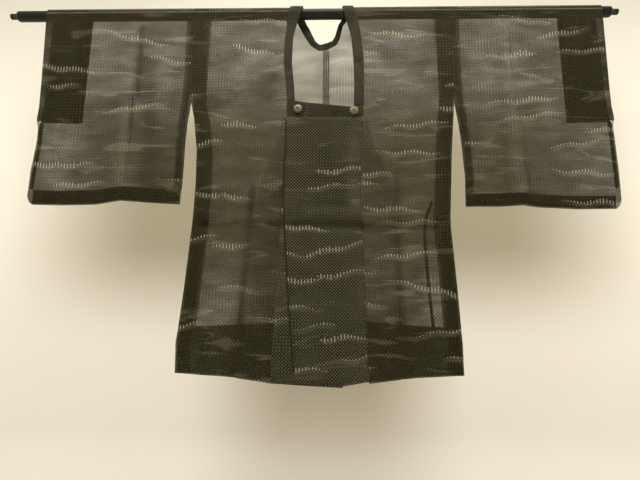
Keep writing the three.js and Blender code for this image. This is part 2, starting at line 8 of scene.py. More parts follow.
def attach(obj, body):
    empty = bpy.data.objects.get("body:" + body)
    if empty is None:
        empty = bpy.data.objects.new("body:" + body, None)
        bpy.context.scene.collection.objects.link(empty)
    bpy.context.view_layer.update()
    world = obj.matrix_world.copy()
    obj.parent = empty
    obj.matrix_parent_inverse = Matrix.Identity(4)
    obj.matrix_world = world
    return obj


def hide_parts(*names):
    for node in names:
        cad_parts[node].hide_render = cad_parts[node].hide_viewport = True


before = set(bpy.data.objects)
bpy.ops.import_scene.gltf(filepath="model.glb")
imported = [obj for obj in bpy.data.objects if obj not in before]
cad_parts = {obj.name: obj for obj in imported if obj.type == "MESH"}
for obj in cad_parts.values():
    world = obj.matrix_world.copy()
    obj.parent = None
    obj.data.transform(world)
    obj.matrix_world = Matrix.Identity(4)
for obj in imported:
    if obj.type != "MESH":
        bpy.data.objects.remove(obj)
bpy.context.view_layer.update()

# Michiyuki coat in sheer summer gauze, hung flat on a steel rod through its sleeves.
# Sizes are in millimetres until a mesh is made, and x runs to the wearer's left. A place on the
# cloth is its x and its drop below the rod's axis. A drop under zero is measured round the rod.

scene = bpy.context.scene
# where the camera stands in metres, its turns in degrees, and its lens in millimetres
view = {"place": (0.0207, -1.0366, -0.7224), "yaw": -1.1725, "pitch": 9.7337, "roll": 0.2656,
        "lens": 27.06, "sensor": 36}


def addCamera():
    yaw, pitch, roll = (math.radians(view[name]) for name in ("yaw", "pitch", "roll"))
    ahead = Vector((math.sin(yaw) * math.cos(pitch), math.cos(yaw) * math.cos(pitch),
                    math.sin(pitch)))
    levelSide = ahead.cross(Vector((0, 0, 1))).normalized()
    levelTop = levelSide.cross(ahead)
    side = math.cos(roll) * levelSide + math.sin(roll) * levelTop
    top = math.cos(roll) * levelTop - math.sin(roll) * levelSide
    turned = Matrix((side, top, -ahead)).transposed().to_quaternion()
    data = bpy.data.cameras.new("camera")
    data.lens = view["lens"]
    data.sensor_width = view["sensor"]
    camera = bpy.data.objects.new("camera", data)
    camera.matrix_world = Matrix.LocRotScale(Vector(view["place"]), turned, None)
    scene.collection.objects.link(camera)
    scene.camera = camera


addCamera()
scene.cycles.transparent_max_bounces = 40  # a sight line can pass many layers of gauze
scene.view_settings.view_transform = "Standard"
print("camera set")


def fromHex(code):
    channels = [int(code[i:i + 2], 16) / 255 for i in (1, 3, 5)]
    return [c / 12.92 if c <= 0.04045 else ((c + 0.055) / 1.055) ** 2.4 for c in channels] + [1]


# A setting's key is the name of a property or socket, or a socket's number. A link's value is
# the name of an earlier node, with the output after a dot.
def addNode(tree, made, name, kind, settings, links):
    node = tree.nodes.new("ShaderNode" + kind)
    for key, value in settings.items():
        if isinstance(key, int) or key in node.inputs:
            node.inputs[key].default_value = value
        else:
            setattr(node, key, value)
    for key, source in links.items():
        start, _, output = source.partition(".")
        tree.links.new(made[start].outputs[output or 0], node.inputs[key])
    made[name] = node


def makeMaterial(name, steps):
    material = bpy.data.materials.new(name)
    material.use_nodes = True
    tree = material.node_tree
    tree.nodes.clear()
    made = {}
    for step in steps:
        addNode(tree, made, *step)
    addNode(tree, made, "out", "OutputMaterial", {}, {"Surface": "shader"})
    return material


# How often patches of this width and height in millimetres come in a metre.
def perMetre(size):
    return (1000 / size[0], 1000 / size[1], 0)


# Silk summer gauze, woven and dyed black. The mesh lets the wall through and leaves a fine
# slanting hatch, with upright ribs where two layers line up. Mist figures float on it in paler
# weft: wisps, and rows of short upright ticks that run along the top of a wisp and fade out.
def gauzeSteps(look):
    meshTurns, tickTurns, swingTurns = (2000 * math.pi / look[name]
                                        for name in ("mesh", "tick", "swing"))
    stray, high, below, tickEdge = (
        look[name] / 1000 for name in ("stray", "swingHeight", "wispBelow", "tickEdge"))
    figure, reach, tickHeight, wispEdge, crestEdge = (
        [size / 1000 for size in look[name]]
        for name in ("figure", "reach", "tickHeight", "wispEdge", "crestEdge"))
    return [
        ("spot", "UVMap", {}, {}),
        ("wander", "TexNoise", {"noise_dimensions": "2D", "Scale": 1000 / look["wanderPatch"],
                                "Detail": 2}, {"Vector": "spot"}),
        ("yarn", "VectorMath", {"operation": "MULTIPLY_ADD", 1: (stray, stray, 0)},
         {0: "wander.Color", 2: "spot"}),
        ("at", "SeparateXYZ", {}, {0: "yarn"}),
        # the mesh, as two crossed waves that give way to ribs in places
        ("warpTurn", "Math", {"operation": "MULTIPLY", 1: meshTurns}, {0: "at.X"}),
        ("weftTurn", "Math", {"operation": "MULTIPLY", 1: meshTurns}, {0: "at.Y"}),
        ("warp", "Math", {"operation": "COSINE"}, {0: "warpTurn"}),
        ("weft", "Math", {"operation": "COSINE"}, {0: "weftTurn"}),
        ("crossed", "Math", {"operation": "MULTIPLY"}, {0: "warp", 1: "weft"}),
        ("ribAt", "VectorMath", {"operation": "MULTIPLY", 1: perMetre(look["ribPatch"])},
         {0: "spot"}),
        ("ribPatch", "TexNoise", {"noise_dimensions": "2D", "Scale": 1, "Detail": 1},
         {"Vector": "ribAt"}),
        ("ribShare", "MapRange", {"From Min": 0.5, "From Max": 0.68, "To Max": look["rib"]},
         {"Value": "ribPatch.Fac"}),
        ("mesh", "Mix", {"data_type": "FLOAT"}, {0: "ribShare", 2: "crossed", 3: "warp"}),
        # drawn softer in the back layer, where so coarse a mesh would be too bold on its own
        ("space", "TexCoord", {}, {}),
        ("height", "SeparateXYZ", {}, {0: "space.Object"}),
        ("boldness", "MapRange", {"From Min": -0.002, "From Max": 0.002, "To Min": 1,
                                  "To Max": look["backMesh"]}, {"Value": "height.Y"}),
        ("meshSeen", "Math", {"operation": "MULTIPLY"}, {0: "mesh.Result", 1: "boldness"}),
        ("cover", "MapRange", {"From Min": -0.55, "From Max": 0.55, "To Min": look["cover"][1],
                               "To Max": look["cover"][0]}, {"Value": "meshSeen"}),
        ("bright", "MapRange", {"From Min": -0.8, "From Max": 0.1, "To Min": 1, "To Max": 0},
         {"Value": "mesh.Result"}),
        # slow drifts in how tight the weave is, longer across than down
        ("driftAt", "VectorMath", {"operation": "MULTIPLY", 1: perMetre(look["driftPatch"])},
         {0: "spot"}),
        ("drift", "TexNoise", {"noise_dimensions": "2D", "Scale": 1, "Detail": 3},
         {"Vector": "driftAt"}),
        ("tight", "MapRange", {"From Min": 0.3, "From Max": 0.7, "To Min": -look["drift"],
                               "To Max": look["drift"]}, {"Value": "drift.Fac"}),
        # painted shade: in a trough the cloth is drawn darker and hides more of the wall, and on a
        # ridge lighter and more open, which makes folds show
        ("pressed", "Attribute", {"attribute_name": "pressed"}, {}),
        ("foldShadedTight", "Math", {"operation": "MULTIPLY_ADD", 1: look["foldShadeStrength"]},
         {0: "pressed.Fac", 2: "tight"}),
        ("foldShadedBright", "Math", {"operation": "MULTIPLY_ADD", 1: -look["foldShadeStrength"], "use_clamp": True},
         {0: "pressed.Fac", 2: "bright"}),
        # wisps, much longer across than down
        ("wispAt", "VectorMath", {"operation": "MULTIPLY", 1: perMetre(look["wispPatch"])},
         {0: "yarn"}),
        ("wispCloud", "TexNoise", {"noise_dimensions": "2D", "Scale": 1, "Detail": 1.5,
                                   "Distortion": 0.7}, {"Vector": "wispAt"}),
        ("wisp", "MapRange", {"From Min": 0.635, "From Max": 0.72}, {"Value": "wispCloud.Fac"}),
        # rows of ticks, one to a cell, each on a line that steps up or down
        ("cellAt", "VectorMath", {"operation": "MULTIPLY", 1: perMetre(look["figure"])},
         {0: "yarn"}),
        ("cell", "TexVoronoi", {"voronoi_dimensions": "2D", "Scale": 1, "Randomness": 0.9},
         {"Vector": "cellAt"}),
        ("fromCell", "VectorMath", {"operation": "SUBTRACT"}, {0: "cellAt", 1: "cell.Position"}),
        ("own", "VectorMath", {"operation": "MULTIPLY", 1: (*figure, 0)}, {0: "fromCell"}),
        ("ownAt", "SeparateXYZ", {}, {0: "own"}),
        ("chance", "SeparateColor", {}, {0: "cell.Color"}),
        ("present", "MapRange", {"From Min": 0.24, "From Max": 0.28}, {"Value": "chance.Green"}),
        ("reach", "MapRange", {"To Min": reach[0], "To Max": reach[1]},
         {"Value": "chance.Red"}),
        ("lean", "MapRange", {"To Min": look["rowLean"][0], "To Max": look["rowLean"][1]},
         {"Value": "chance.Blue"}),
        ("rise", "Math", {"operation": "MULTIPLY"}, {0: "ownAt.X", 1: "lean"}),
        ("phase", "Math", {"operation": "MULTIPLY", 1: look["phase"]}, {0: "chance.Blue"}),
        ("swingTurn", "Math", {"operation": "MULTIPLY_ADD", 1: swingTurns},
         {0: "ownAt.X", 2: "phase"}),
        ("swing", "Math", {"operation": "SINE"}, {0: "swingTurn"}),
        ("bend", "Math", {"operation": "MULTIPLY_ADD", 1: high}, {0: "swing", 2: "rise"}),
        ("offLine", "Math", {"operation": "SUBTRACT"}, {0: "ownAt.Y", 1: "bend"}),
        ("away", "Math", {"operation": "ABSOLUTE"}, {0: "offLine"}),
        ("share", "Math", {"operation": "DIVIDE"}, {0: "ownAt.X", 1: "reach"}),
        ("shareTwice", "Math", {"operation": "MULTIPLY"}, {0: "share", 1: "share"}),
        ("taper", "Math", {"operation": "SUBTRACT", 0: 1.0, "use_clamp": True},
         {1: "shareTwice"}),
        ("lopside", "MapRange", {"From Min": 0.3, "From Max": 0.7, "To Min": -0.8, "To Max": 0.8},
         {"Value": "chance.Red"}),
        ("skew", "Math", {"operation": "MULTIPLY_ADD", 2: 1.0}, {0: "share", 1: "lopside"}),
        ("shaped", "Math", {"operation": "MULTIPLY"}, {0: "taper", 1: "skew"}),
        ("fullHeight", "MapRange", {"From Min": 0.24, "To Min": tickHeight[0],
                                    "To Max": tickHeight[1]}, {"Value": "chance.Green"}),
        ("uneven", "TexNoise", {"noise_dimensions": "1D", "Scale": 1000 / look["unevenPatch"],
                                "Detail": 1}, {"W": "at.X"}),
        ("jump", "MapRange", {"From Min": 0.3, "From Max": 0.7, "To Min": 0.5, "To Max": 1.3},
         {"Value": "uneven.Fac"}),
        ("jumped", "Math", {"operation": "MULTIPLY"}, {0: "fullHeight", 1: "jump"}),
        ("halfHeight", "Math", {"operation": "MULTIPLY"}, {0: "shaped", 1: "jumped"}),
        ("inside", "Math", {"operation": "SUBTRACT"}, {0: "halfHeight", 1: "away"}),
        ("bandEdge", "MapRange", {"From Min": 0, "From Max": tickEdge}, {"Value": "inside"}),
        ("band", "Math", {"operation": "MULTIPLY"}, {0: "bandEdge", 1: "present"}),
        ("tickTurn", "Math", {"operation": "MULTIPLY", 1: tickTurns}, {0: "at.X"}),
        ("tickWave", "Math", {"operation": "COSINE"}, {0: "tickTurn"}),
        ("tick", "MapRange", {"From Min": 0.3, "From Max": 0.7}, {"Value": "tickWave"}),
        ("figure", "Math", {"operation": "MULTIPLY"}, {0: "band", 1: "tick"}),
        # the wisp that each row of ticks runs along
        ("below", "Math", {"operation": "SUBTRACT", 1: below}, {0: "offLine"}),
        ("belowAway", "Math", {"operation": "ABSOLUTE"}, {0: "below"}),
        ("belowSoft", "MapRange", {"From Min": wispEdge[0], "From Max": wispEdge[1]},
         {"Value": "belowAway"}),
        ("belowShaped", "Math", {"operation": "MULTIPLY"}, {0: "belowSoft", 1: "taper"}),
        ("underTicks", "Math", {"operation": "MULTIPLY"}, {0: "belowShaped", 1: "present"}),
        ("mist", "Math", {"operation": "MAXIMUM"}, {0: "underTicks", 1: "wisp"}),
        # a painted highlight, in patches, where the cloth turns down over the rod, a little below
        # its axis
        ("fromCrest", "Math", {"operation": "ADD", 1: look["crestDrop"] / 1000},
         {0: "height.Z"}),
        ("crestAway", "Math", {"operation": "ABSOLUTE"}, {0: "fromCrest"}),
        ("crest", "MapRange", {"From Min": crestEdge[0], "From Max": crestEdge[1],
                               "To Max": look["crestHighlight"]}, {"Value": "crestAway"}),
        ("patchyCrestHighlight", "Math", {"operation": "MULTIPLY"}, {0: "crest", 1: "wander.Fac"}),
        # colour and cover
        ("dark", "Mix", {"data_type": "RGBA", 6: fromHex(look["dark"]), 7: fromHex(look["light"])},
         {0: "foldShadedBright"}),
        ("mistBright", "MapRange", {"To Min": 0.3 * look["mist"], "To Max": look["mist"]},
         {"Value": "bright"}),
        ("mistShare", "Math", {"operation": "MULTIPLY"}, {0: "mist", 1: "mistBright"}),
        ("mistAndHighlightShare", "Math", {"operation": "MAXIMUM"}, {0: "mistShare", 1: "patchyCrestHighlight"}),
        ("misty", "Mix", {"data_type": "RGBA", 7: fromHex(look["figureLight"])},
         {0: "mistAndHighlightShare", 6: "dark.Result"}),
        ("colour", "Mix", {"data_type": "RGBA", 7: fromHex(look["figureLight"])},
         {0: "figure", 6: "misty.Result"}),
        ("tightCover", "Math", {"operation": "ADD"}, {0: "cover", 1: "foldShadedTight"}),
        ("openCover", "Math", {"operation": "MULTIPLY_ADD", 1: -look["open"]},
         {0: "mist", 2: "tightCover"}),
        ("figureCover", "Math", {"operation": "MULTIPLY", 1: look["figureCover"]}, {0: "figure"}),
        ("alpha", "Math", {"operation": "MAXIMUM", "use_clamp": True},
         {0: "openCover", 1: "figureCover"}),
        ("grain", "MapRange", {"To Min": 0.62, "To Max": 0.88}, {"Value": "wander.Fac"}),
        ("relief", "Bump", {"Strength": 0.35, "Distance": 0.4 / 1000}, {"Height": "bright"}),
        ("shader", "BsdfPrincipled",
         {"IOR": 1.5, "Sheen Weight": look["sheen"], "Sheen Roughness": 0.4,
          "Specular Tint": fromHex(look["tint"]), "Sheen Tint": fromHex(look["tint"])},
         {"Base Color": "colour.Result", "Alpha": "alpha", "Roughness": "grain",
          "Normal": "relief"}),
    ]


# Sizes are in millimetres. The real mesh is about 2 mm. It is drawn at 7 mm, or it would be too
# fine to show. cover is how much of the wall the cloth hides where the mesh is open, and where it
# is close. A size that ends in Patch is how far apart slow changes lie, across and down.
# Two of these paint light: the strength of the shade painted in the troughs of folds, and of the
# highlight painted along the cloth's turn over the rod.
gauzeLook = {
    "mesh": 7.0, "stray": 0.9, "wanderPatch": 29.41, "cover": (0.4, 0.91), "backMesh": 0.32,
    "rib": 0.4, "ribPatch": (166.67, 125), "drift": 0.08, "driftPatch": (90.91, 29.41),
    "foldShadeStrength": 0.27, "wispPatch": (133.33, 21.74), "figure": (200, 58), "reach": (40, 120),
    "rowLean": (-0.16, 0.26), "phase": 9, "swing": 78.54, "swingHeight": 3, "tick": 7.0,
    "tickHeight": (1.6, 6.2), "tickEdge": 0.5, "unevenPatch": 6.667, "wispBelow": 5,
    "wispEdge": (6.2, 1.8), "crestDrop": 1, "crestEdge": (2.1, 0.9), "crestHighlight": 0.8,
    "dark": "#0b0a05", "light": "#38351b", "figureLight": "#a8a58e", "mist": 0.42,
    "open": 0.08, "figureCover": 0.85, "sheen": 0.1, "tint": "#fff7d2",
}
turnedShadedLook = {**gauzeLook, "dark": "#0a0905", "light": "#242318", "figureLight": "#5c5848",
              "rib": 0.2, "mist": 0.1, "open": 0.0}


def makeGauze(name, look, **changes):
    return makeMaterial(name, gauzeSteps({**look, **changes}))


gauze = makeGauze("silkGauzeWoven", gauzeLook, tint="#fff2b8")
# turned in behind the outer cloth, which it darkens: a darker copy of the gauze with fainter
# figures, painted shade for cloth that lies inside
gauzeTurnedShaded = makeGauze("silkGauzeTurnedInShaded", turnedShadedLook, cover=(0.5, 0.92))
# along the centre back seam the threads bunch up into dark upright lines
gauzeBunched = makeGauze("silkGauzeSeamBunched", turnedShadedLook, dark="#080703", light="#2c2a1c",
                         mesh=5.0, cover=(0.28, 1.0), backMesh=1.2, rib=3.0)
# it lies thread on thread with the front, so it takes away less light
gauzeAligned = makeGauze("silkGauzeTurnedInAligned", turnedShadedLook, cover=(0.12, 0.62))
# turned twice at the cuffs and sleeve hems, so hardly any wall shows through
gauzeHemmed = makeGauze("silkGauzeHemmedTwice", turnedShadedLook, cover=(0.8, 0.98))
# folded double in the front bands: a bold hatch of pale threads on dark, and closer figures, in
# lighter colours that are partly painted light, for the front light on the bands
gauzeDoubledLit = makeGauze("silkGauzeFoldedDoubleLit", gauzeLook, dark="#15140c", light="#63614a",
                         cover=(0.55, 0.95), rib=0.2, figure=(130, 62), mist=0.3)
# pressed flat and close, with its mesh drawn at 6 mm
gauzeCollar = makeGauze("silkGauzeCollarPressed", gauzeLook, dark="#0e0d08", light="#434130",
                        cover=(0.76, 0.98), rib=0.3, mist=0.05, figureLight="#4d493b", mesh=6.0)
# several layers meet at the back neck, and this darker copy of the collar gauze also paints the
# shade inside the neck, so it looks almost black
gauzeNeckShaded = makeGauze("silkGauzeNeckLayersShaded", gauzeLook, dark="#080704", light="#1f1d14",
                      cover=(0.93, 1), rib=0.3, mist=0.02, figureLight="#2b2920", mesh=6.0)

# Cotton sewing thread, black and dull: short dark dashes beside the seams. A wave texture of this
# scale has a turn of twist every 0.35 mm.
thread = makeMaterial("cottonThread", [
    ("spot", "TexCoord", {}, {}),
    ("twist", "TexWave", {"Scale": 900, "Distortion": 2, "bands_direction": "DIAGONAL"},
     {"Vector": "spot.Object"}),
    ("colour", "Mix", {"data_type": "RGBA", 6: fromHex("#0c0b08"), 7: fromHex("#1f1d17")},
     {0: "twist.Fac"}),
    ("relief", "Bump", {"Strength": 0.4, "Distance": 0.0001}, {"Height": "twist.Fac"}),
    ("shader", "BsdfPrincipled", {"Roughness": 0.8, "IOR": 1.5},
     {"Base Color": "colour.Result", "Normal": "relief"}),
])

# Steel tube, drawn and painted satin black: a soft highlight along its length, a faint
# orange-peel of 1.4 mm in the paint, and dust in patches of 36 mm where the cloth has not wiped it.
paintedSteel = makeMaterial("steelTubePaintedSatin", [
    ("spot", "TexCoord", {}, {}),
    ("peel", "TexNoise", {"Scale": 1000 / 1.4286, "Detail": 2}, {"Vector": "spot.Object"}),
    ("dust", "TexNoise", {"Scale": 1000 / 35.714, "Detail": 5, "Roughness": 0.6},
     {"Vector": "spot.Object"}),
    ("dustShare", "MapRange", {"From Min": 0.45, "From Max": 0.75, "To Max": 0.35},
     {"Value": "dust.Fac"}),
    ("colour", "Mix", {"data_type": "RGBA", 6: fromHex("#14110c"), 7: fromHex("#383126")},
     {0: "dustShare"}),
    ("rough", "MapRange", {"To Min": 0.3, "To Max": 0.5}, {"Value": "dust.Fac"}),
    ("relief", "Bump", {"Strength": 0.15, "Distance": 0.0002}, {"Height": "peel.Fac"}),
    ("shader", "BsdfPrincipled", {"IOR": 1.5, "Specular IOR Level": 0.35},
     {"Base Color": "colour.Result", "Roughness": "rough", "Normal": "relief"}),
])

# Bronze, stamped and aged: bright on the crowns of the petals, brown in the grooves and rim, with
# stains of 2.4 mm.
agedBronze = makeMaterial("bronzeStampedAged", [
    ("spot", "UVMap", {}, {}),
    ("at", "SeparateXYZ", {}, {0: "spot"}),
    ("space", "TexCoord", {}, {}),
    ("stain", "TexNoise", {"Scale": 1000 / 2.381, "Detail": 5, "Roughness": 0.65},
     {"Vector": "space.Object"}),
    ("worn", "MapRange", {"From Min": 0.1, "From Max": 0.7}, {"Value": "at.Y"}),
    ("stained", "Math", {"operation": "MULTIPLY"}, {0: "worn", 1: "stain.Fac"}),
    ("share", "MapRange", {"From Min": 0.14, "From Max": 0.42}, {"Value": "stained"}),
    ("colour", "Mix", {"data_type": "RGBA", 6: fromHex("#1a140c"), 7: fromHex("#a3957e")},
     {0: "share"}),
    ("rough", "MapRange", {"To Min": 0.55, "To Max": 0.3}, {"Value": "share"}),
    ("relief", "Bump", {"Strength": 0.3, "Distance": 0.0002}, {"Height": "stain.Fac"}),
    ("shader", "BsdfPrincipled", {"Metallic": 1},
     {"Base Color": "colour.Result", "Roughness": "rough", "Normal": "relief"}),
])
print("materials made")

sides = {"right": -1, "left": 1}  # the wearer's right is at -x
fronts = {"right": "under", "left": "over"}  # the left front laps over the right one
# Cloth bends over the rod at fold from its axis, and turned-in cloth lies inside. Folds come to
# their full depth at slackBelow. In the shade painted on folds, a trough of toneDepth counts as 1,
# and a ridge, painted lighter, counts for less.
cloth = {"fold": 15.1, "inside": -1.5, "slackBelow": 60, "toneDepth": 5, "ridgeTone": 0.4}
turnsOverRod = np.linspace(0, math.pi, 19)[1:-1]  # the rows of cloth that lie on the rod

# How far the cloth hangs from the plane of the rod.
hang = {
    "drop": [0, 60, 240, 350, 515, 700, 860],
    "middle": [15.1, 14.6, 12.6, 12, 11, 12.4, 13.6],
    "side": [15.1, 13.2, 9, 8.6, 8.6, 9.2, 10],
    "sleeve": [15.1, 13.2, 9, 8, 7.6, 7.6, 7.6],
}

# Folds, each a soft ridge or trough along a line, as fromX, fromDrop, toX, toDrop, width, height.
folds = {
    "front": [
        (-300, 512, 300, 516, 9, -4.2), (-100, 95, -225, 190, 20, 3),
        (-110, 175, -270, 245, 20, -2.6), (-235, 90, -190, 150, 24, 2.2),
        (115, 120, 230, 215, 22, 2.6), (265, 60, 225, 160, 22, -2),
        (-150, 430, -178, 850, 8, -4.6), (168, 400, 172, 850, 8, -4.4),
        (-235, 560, -250, 850, 26, 2.6), (225, 590, 236, 850, 26, 2.4),
        (-30, 600, -20, 860, 34, 2), (70, 480, 20, 505, 24, 1.8),
        (24, 275, 28, 530, 26, -3), (8, 462, 64, 470, 9, -3.4),
        (-281, 512, -252, 513, 5, -7), (252, 513, 283, 514, 5, -7), (-60, 510, 90, 516, 9, -3.2),
    ],
    "back": [
        (-300, 515, 300, 513, 11, -2.2), (-60, 90, -190, 210, 26, 2.6),
        (80, 100, 200, 230, 26, 2.8), (-200, 330, -215, 850, 26, 3),
        (-110, 560, -105, 850, 30, -2.4), (96, 420, 110, 850, 28, 2.8),
        (205, 600, 215, 850, 26, -2.2),
    ],
    "sleeveFront": [
        (-446, 300, -448, 460, 14, 3.4), (-422, 40, -425, 205, 6, -4.5),
        (-434, 215, -437, 405, 5, -4.8), (-488, 240, -486, 385, 38, -2),
        (-395, 120, -385, 380, 30, -2),
        (-520, 60, -590, 330, 30, 2.2), (437, 30, 443, 460, 14, 3.4),
        (434, 50, 442, 260, 5, -4.8), (443, 265, 462, 440, 5, -4.2),
        (385, 140, 372, 400, 30, 2), (520, 80, 575, 360, 32, -2),
    ],
    "sleeveBack": [
        (-450, 30, -448, 460, 14, 3), (-385, 100, -400, 360, 30, 2.2),
        (441, 30, 441, 460, 14, 3), (540, 70, 560, 380, 32, 2.2),
    ],
}
# Small uneven waves between the folds. A wave is as high as its length over lengthPerHeight.
ripples = {"seeds": {"front": 3, "back": 5, "sleeveFront": 7, "sleeveBack": 11}, "count": 16,
           "length": (38, 150), "lean": 0.38, "turn": 6.28, "strength": (0.5, 1),
           "lengthPerHeight": 330, "fullBelow": 120}


def ease(value):
    t = np.clip(value, 0, 1)
    return t * t * (3 - 2 * t)


# How far folds and ripples stand out on one face. The ripples grow below the rod.
def drape(name, x, drop):
    height = np.zeros(x.shape)
    for fromX, fromDrop, toX, toDrop, width, crest in folds[name]:
        runX, runDrop = toX - fromX, toDrop - fromDrop
        length = math.hypot(runX, runDrop)
        along = ((x - fromX) * runX + (drop - fromDrop) * runDrop) / length
        across = ((x - fromX) * runDrop - (drop - fromDrop) * runX) / length
        beyond = np.maximum(0, np.maximum(-along, along - length))
        height += crest * np.exp(-(across**2 + beyond**2) / width**2)
    draw = np.random.default_rng(ripples["seeds"][name])
    ripple = np.zeros(x.shape)
    for _ in range(ripples["count"]):
        length = draw.uniform(*ripples["length"])
        lean = draw.normal(0, ripples["lean"])
        phase = draw.uniform(0, ripples["turn"])
        turn = (x * math.cos(lean) + drop * math.sin(lean)) * 2 * math.pi / length
        high = draw.uniform(*ripples["strength"]) * length / ripples["lengthPerHeight"]
        ripple += high * np.sin(turn + phase)
    return height + ripple * ease(drop / ripples["fullBelow"])


# The body: its side seams and where its turned-in cloth ends. Below leanFrom its rows lean over
# to the hem. Folds come to their full depth over sideSlack, a share of its width from the seam.
bodyCut = {
    "drop": [0, 190, 213, 240, 264, 300, 340, 420, 495, 515, 650, 770, 860],
    "right": [-298.5, -300, -300, -294.5, -289, -284.6, -279.5, -278, -280.5, -281.5, -292, -304,
              -302],
    "left": [302.5, 305, 305.5, 302.3, 299.8, 296.5, 293, 288.3, 283.5, 283.5, 292, 298, 298],
    "centreBack": 12, "facing": 727, "hem": 860, "leanFrom": 600, "sideAllowance": 33,
    "sideSlack": 1 / 8, "rowStep": 7.5, "columns": 50, "facingColumns": 48,
    "start": {"right": (0.0, 0.0), "left": (1.31, 0.44)}, "flat": (0.345, 1.76), "area": 0.43,
}
frontEdge = {
    "drop": [-24, 0, 30, 70, 131, 190, 226, 264, 460, 650, 860],
    "right": [-66, -76, -79, -84, -86, -80, -77, -78, -84.5, -94, -102],
    "left": [68, 78, 87.5, 94, 99, 99, 98, 95, 89, 96, 102],
}
hemLine = {
    "x": [-302, -189, -102, -40, 48, 102, 196, 298],
    "hem": [827, 834, 847, 853, 855, 846, 834, 829],
    "facing": [733, 728, 724, 722, 719, 719, 728, 733],
}
# how far the right front lies behind the left one, and where it slips under
lap = {"depth": 2.3, "from": 60, "over": 130, "x": -150, "width": 46}


# A table's right column where x is under zero, and its left column elsewhere.
def sideAt(cut, drop, x, right, left):
    return np.where(x < 0, np.interp(drop, cut["drop"], cut[right]),
                    np.interp(drop, cut["drop"], cut[left]))


def bodyDepth(name, x, drop):
    edge = sideAt(bodyCut, drop, x, "right", "left")
    middle = np.interp(drop, hang["drop"], hang["middle"])
    side = np.interp(drop, hang["drop"], hang["side"])
    fullness = 1 - np.clip(x / edge, 0, 1) ** 3
    slack = ease(drop / cloth["slackBelow"]) * ease((1 - x / edge) / bodyCut["sideSlack"])
    return side + (middle - side) * fullness + drape(name, x, drop) * slack


def underDepth(name, x, drop):  # the right front slips behind the left one
    tuck = ease((drop - lap["from"]) / lap["over"]) * ease((x - lap["x"]) / lap["width"])
    return bodyDepth(name, x, drop) - lap["depth"] * tuck


# A sleeve: its edges, the widths of its turned-in cloth, and the x to which each facing reaches.
sleeveCut = {
    "drop": [0, 190, 240, 270, 320, 400, 466],
    "rightInner": [-298.5, -300, -304.2, -308.3, -311, -311.5, -313.5],
    "leftInner": [302.5, 305, 309.6, 314, 319, 323, 320],
    "rightOuter": [-652, -649.2, -649.4, -652, -651.5, -658, -659.5],
    "leftOuter": [652.5, 653, 654, 657.5, 659, 660.5, 660],
    "rightBottomX": [-659.5, -655, -647, -584, -502, -448, -379, -311],
    "rightBottom": [446, 458, 465, 467, 465, 456, 461, 465],
    "leftBottomX": [320, 393, 444, 479, 565, 647, 656, 660],
    "leftBottom": [470, 470, 467, 472, 476, 475, 467, 452],
    "deepest": 466, "roundCornerFrom": 645, "width": 345, "allowance": 17, "edgeSeam": 12,
    "rightHem": 34, "leftHem": 30, "cuffDrop": 270, "rightFacing": -553, "leftFacing": 560,
    "turnUnder": 20, "facingRows": 36, "allowanceRows": 58, "seamPly": 0.75, "seamInset": 3,
    "start": {"right": (2.6, 0.2), "left": (3.7, 0.8)}, "flat": (0.35, 0.98),
}
# It is closed at its bottom, and outside below the cuff. From there it opens to its full depth
# over a height, openUp, and a share of its width, openIn. Its seams draw in the last sewnWithin.
sleeveHang = {"closed": 1.9, "openUp": 120, "openIn": 1 / 9, "cuffLead": 8, "cuffOver": 30,
              "slackIn": 1 / 12, "sewnWithin": 2.2, "sewnOver": 12}


def sleeveBottom(x):
    return np.where(x < 0, np.interp(x, sleeveCut["rightBottomX"], sleeveCut["rightBottom"]),
                    np.interp(x, sleeveCut["leftBottomX"], sleeveCut["leftBottom"]))


def sleeveDepth(name, x, drop):
    closed = sleeveHang["closed"]
    hung = np.interp(drop, hang["drop"], hang["sleeve"])
    outer = sideAt(sleeveCut, drop, x, "rightOuter", "leftOuter")
    overBottom = np.sqrt(np.clip((sleeveBottom(x) - drop) / sleeveHang["openUp"], 0, 1))
    fromEdge = np.sqrt(np.clip((1 - x / outer) / sleeveHang["openIn"], 0, 1))
    underCuff = drop - sleeveCut["cuffDrop"] + sleeveHang["cuffLead"]
    gape = overBottom * (1 + (fromEdge - 1) * ease(underCuff / sleeveHang["cuffOver"]))
    slack = ease(drop / cloth["slackBelow"]) * ease((1 - x / outer) / sleeveHang["slackIn"]) * gape
    return closed + (hung - closed) * gape + drape(name, x, drop) * slack


# Each face of the coat: which way it looks, its depth, and the folds that lie on it.
faces = {
    "under": (-1, underDepth, "front"), "over": (-1, bodyDepth, "front"),
    "back": (1, bodyDepth, "back"), "sleeveFront": (-1, sleeveDepth, "sleeveFront"),
    "sleeveBack": (1, sleeveDepth, "sleeveBack"),
    "seamed": (-1, lambda name, x, drop: 0 * x, "front"),
}


# Points on the cloth in metres, moved out from the coat's inside by outward.
def place(face, x, drop, outward=0.0):
    face, x, drop, outward = np.broadcast_arrays(face, x, drop, outward)
    points = np.zeros(x.shape + (3,))
    for name in np.unique(face):
        way, depth, pleats = faces[name]
        here = face == name
        turn = np.clip(-drop[here], 0, None) / cloth["fold"]
        hung = depth(pleats, x[here], np.maximum(drop[here], 0)) + outward[here]
        radius = cloth["fold"] + outward[here]
        y = np.where(turn > 0, radius * np.cos(turn), hung)
        z = np.where(turn > 0, radius * np.sin(turn), -drop[here])
        points[here] = np.stack([x[here], way * y, z], axis=-1) / 1000
    return points


# Where the points lie in the flat cloth, in metres, so that the weave runs on over the rod.
def flat(face, x, drop, start=(0, 0)):
    face, x, drop = np.broadcast_arrays(face, x, drop)
    behind = (face == "back") | (face == "sleeveBack")
    run = np.where(behind, -math.pi * cloth["fold"] - drop, drop)
    return np.stack([x / 1000 + start[0], run / 1000 + start[1]], axis=-1)


